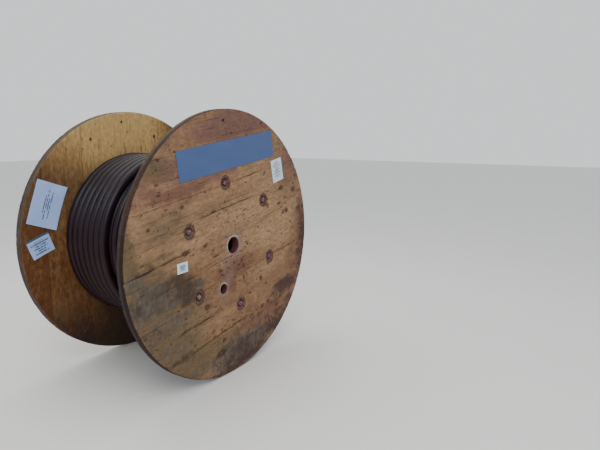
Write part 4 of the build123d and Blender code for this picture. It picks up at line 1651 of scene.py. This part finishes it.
def paper_material(name, white, block, line_step, tint, upright=False, band=None, beside=False, shade=0.0):
    """White paper with plain grey rules for print: block gives their left, right, low and high ends."""
    s = Shader(name)
    flat = s.stored("flat").out("Vector")
    a, b, _ = s.split(flat)
    cloud = s.noise(s.scaled(flat, (18.0, 18.0, 1.0)), detail=4, rough=0.6)
    left, right, low, high = block
    along, across = (b, a) if upright else (a, b)
    row = across / line_step
    length = s.noise(s.vector(row.floor() * 3.7, 0.5, 0.5), detail=0).rise(0.3, 0.7) * 0.30 + 0.20
    inside = a.rise(left, left + 0.001) * (1.0 - a.rise(right - 0.001, right))
    inside = inside * b.rise(low, low + 0.001) * (1.0 - b.rise(high - 0.001, high))
    start, stop = (low, high) if upright else (left, right)
    from_middle = (((along - start) / (stop - start)) - 0.5).absolute()
    inside = inside * (1.0 - from_middle.rise(length, length + 0.01))
    rule = (row.fraction() - 0.5).absolute().rise(0.20, 0.30)
    words = s.noise(s.vector(along * 110.0, row.floor() * 2.3, 0.5), detail=1).rise(0.36, 0.42)
    base = s.mix(cloud.rise(0.4, 0.75) * 0.35, colour(white), tint)
    base = s.mix(inside * shade, base, (0.16, 0.32, 0.46))
    base = s.mix(inside * (1.0 - rule) * words * 0.92, base, (0.04, 0.06, 0.11))
    if band is not None:
        base = s.mix((a if beside else b).rise(band[0], band[0] + 0.0015), base, band[1])
    soiled = s.noise(s.scaled(flat, (60.0, 60.0, 1.0)), detail=3).rise(0.62, 0.8)
    base = s.mix(soiled * 0.3, base, (0.42, 0.36, 0.28))
    normal = s.bump(cloud, 0.0012, 0.5)
    return s.finish(base, 0.38 + 0.2 * cloud, normal, Specular_IOR_Level=0.45)


def sign_lift(a, b):
    """Height of the sign's slight bulges over the boards."""
    wave = 0.0004 * float(waves(a * 9, b * 2, 4)) + 0.0003 * float(waves(a * 3, b * 5, 9))
    return 0.0009 + wave


def pinned(height, seed):
    """A sheet that is held at its edges and puffs up in the middle."""
    def lift(a, b):
        puff = 0.5 + 0.5 * float(waves(a * 3, b * 3, seed))
        return 0.0004 + height * puff * (4 * a * (1 - a)) * (4 * b * (1 - b))
    return lift


def curled(height, seed, corners):
    """A sheet whose corners, each given as its place and a height, curl away from the boards."""
    def lift(a, b):
        bend = 0.0
        for ca, cb, amount in corners:
            d = math.hypot(a - ca, b - cb)
            bend += amount * max(0.0, 1 - d / 0.55) ** 2
        return 0.0006 + bend + height * (0.5 + 0.5 * float(waves(a * 3, b * 4, seed)))
    return lift


SIGN_THICKNESS = 0.0004
PAPER_THICKNESS = 0.0003


class DRUM_OT_sheets(bpy.types.Operator):
    """Puts up the bare blue sign and the papers"""

    bl_idname = "drum.sheets"
    bl_label = "Sign and papers"

    def execute(self, context):
        mesh = sheet_mesh("near_sign", SIGN_THICKNESS, sign_lift, 64, 14)
        add_piece("bare_sign", mesh, sign_material(), ["near_sign"])
        label_width = sheet_corners("near_label")[1].length
        label = paper_material(
            "sleeved_label", "label", (0.018, 0.112, 0.030, 0.150), 0.012, (0.66, 0.72, 0.76),
            band=(label_width - 0.013, (0.045, 0.10, 0.15)), beside=True)
        tag = paper_material(
            "small_tag", "label", (0.012, 0.075, 0.014, 0.052), 0.010, (0.66, 0.76, 0.74), shade=0.75)
        page = paper_material(
            "pinned_page", "paper", (0.079, 0.133, 0.050, 0.250), 0.0135, (0.42, 0.52, 0.80), upright=True)
        form = paper_material(
            "pinned_form", "paper", (0.016, 0.145, 0.016, 0.104), 0.016, (0.42, 0.52, 0.78),
            band=(0.118, (0.05, 0.085, 0.13)), shade=0.25)
        page_curl = curled(0.002, 5, [(1, 1, 0.010), (0, 0, 0.006), (1, 0, 0.008)])
        form_curl = curled(0.0015, 7, [(0, 0, 0.008), (1, 1, 0.004)])
        for name, node, material, lift, columns, rows in (
            ("sleeved_label", "near_label", label, pinned(0.0012, 3), 18, 20),
            ("small_tag", "near_tag", tag, pinned(0.0008, 8), 12, 10),
            ("pinned_page", "far_sheet", page, page_curl, 20, 26),
            ("pinned_form", "far_label", form, form_curl, 18, 16),
        ):
            mesh = sheet_mesh(node, PAPER_THICKNESS, lift, columns, rows)
            add_piece(name, mesh, material, [node])
        return {"FINISHED"}


# Studio

FLOOR_HALF_SIZE = 30.0
# The camera that took the photo: place, angles in degrees, and its lens in pixels of the photo
CAMERA_PLACE = (-2.5809, -2.7153, 1.626)
CAMERA_YAW = 57.23
CAMERA_PITCH = 9.893
CAMERA_ROLL = 0.281
FOCAL_LENGTH_PIXELS = 507.92
PHOTO_WIDTH_PIXELS = 600.0
SENSOR_WIDTH_MM = 36.0
# Soft lights: name, place, what they face, width and height, power, colour
SOFT_LIGHTS = (
    ("key", (-3.4, -3.6, 4.8), (0, 0, 0.9), (3.0, 3.0), 170, (1.0, 0.97, 0.93)),
    ("top", (0.4, 0.8, 5.0), (0, 0, 0.8), (4.0, 4.0), 120, (1.0, 0.96, 0.90)),
)


def lay_floor():
    """A plain pale floor."""
    size = FLOOR_HALF_SIZE
    corners = [(-size, -size, 0), (size, -size, 0), (size, size, 0), (-size, size, 0)]
    mesh = mesh_from("studio_floor", corners, [(0, 1, 2, 3)])
    floor = bpy.data.objects.new("studio_floor", mesh)
    bpy.context.scene.collection.objects.link(floor)
    s = Shader("studio_floor")
    place = s.place()
    cloud = s.noise(place, scale=1.6, detail=3)
    base = s.mix(cloud * 0.2, colour("floor"), (0.55, 0.55, 0.545))
    normal = s.bump(s.noise(place, scale=90.0, detail=3), 0.001, 0.25)
    mesh.materials.append(s.finish(base, 0.75 + 0.1 * cloud, normal))


def light_all_round():
    """A soft, slightly blue light from everywhere."""
    world = bpy.data.worlds.new("studio_light")
    world.use_nodes = True
    background = world.node_tree.nodes["Background"]
    background.inputs[0].default_value = (0.96, 0.975, 1.0, 1.0)
    background.inputs[1].default_value = 1.0
    bpy.context.scene.world = world


def soft_light(name, place, target, size, power, tone):
    """A rectangular light that faces a place on the drum."""
    light = bpy.data.lights.new(name, "AREA")
    light.shape = "RECTANGLE"
    light.size, light.size_y = size
    light.energy = power
    light.color = tone
    lamp = bpy.data.objects.new(name, light)
    lamp.location = place
    aim = Vector(target) - Vector(place)
    lamp.rotation_euler = aim.to_track_quat("-Z", "Y").to_euler()
    bpy.context.scene.collection.objects.link(lamp)


def set_camera():
    """The camera that took the photo."""
    lens = bpy.data.cameras.new("photo_view")
    lens.sensor_fit = "HORIZONTAL"
    lens.sensor_width = SENSOR_WIDTH_MM
    lens.lens = FOCAL_LENGTH_PIXELS * SENSOR_WIDTH_MM / PHOTO_WIDTH_PIXELS
    lens.clip_end = 200.0
    camera = bpy.data.objects.new("photo_view", lens)
    camera.location = CAMERA_PLACE
    yaw, pitch, roll = math.radians(CAMERA_YAW), math.radians(CAMERA_PITCH), math.radians(CAMERA_ROLL)
    forward = Vector((math.sin(yaw) * math.cos(pitch), math.cos(yaw) * math.cos(pitch), -math.sin(pitch)))
    right = Vector((math.cos(yaw), -math.sin(yaw), 0.0))
    up = right.cross(forward)
    right, up = math.cos(roll) * right + math.sin(roll) * up, math.cos(roll) * up - math.sin(roll) * right
    turn = Matrix((right, up, -forward)).transposed()
    camera.rotation_euler = turn.to_euler()
    bpy.context.scene.collection.objects.link(camera)
    bpy.context.scene.camera = camera


class DRUM_OT_stage(bpy.types.Operator):
    """Sets the floor, the lights and the camera"""

    bl_idname = "drum.stage"
    bl_label = "Floor, lights and camera"

    def execute(self, context):
        lay_floor()
        light_all_round()
        for light in SOFT_LIGHTS:
            soft_light(*light)
        set_camera()
        return {"FINISHED"}


class DRUM_PT_panel(bpy.types.Panel):
    """Lists the drum's sizes, colours and pieces"""

    bl_idname = "DRUM_PT_panel"
    bl_label = "Cable drum"
    bl_space_type = "VIEW_3D"
    bl_region_type = "UI"
    bl_category = "Cable drum"

    def draw(self, context):
        layout = self.layout
        for group in (context.scene.drum_sizes, context.scene.drum_colours):
            box = layout.box()
            for name in group.bl_rna.properties.keys():
                if name not in ("rna_type", "name"):
                    box.prop(group, name)
        for operator in OPERATORS:
            layout.operator(operator.bl_idname)


OPERATORS = (
    DRUM_OT_stage, DRUM_OT_winding, DRUM_OT_outer_boards, DRUM_OT_inner_boards, DRUM_OT_barrel, DRUM_OT_bolts,
    DRUM_OT_nails, DRUM_OT_knots, DRUM_OT_sheets,
)
CLASSES = (DrumSizes, DrumColours, *OPERATORS, DRUM_PT_panel)


def register():
    for item in CLASSES:
        bpy.utils.register_class(item)
    bpy.types.Scene.drum_sizes = bpy.props.PointerProperty(type=DrumSizes)
    bpy.types.Scene.drum_colours = bpy.props.PointerProperty(type=DrumColours)


def unregister():
    del bpy.types.Scene.drum_colours
    del bpy.types.Scene.drum_sizes
    for item in reversed(CLASSES):
        bpy.utils.unregister_class(item)


def main():
    register()
    for operator in OPERATORS:
        group, name = operator.bl_idname.split(".")
        getattr(getattr(bpy.ops, group), name)()


if __name__ == "__main__":
    main()
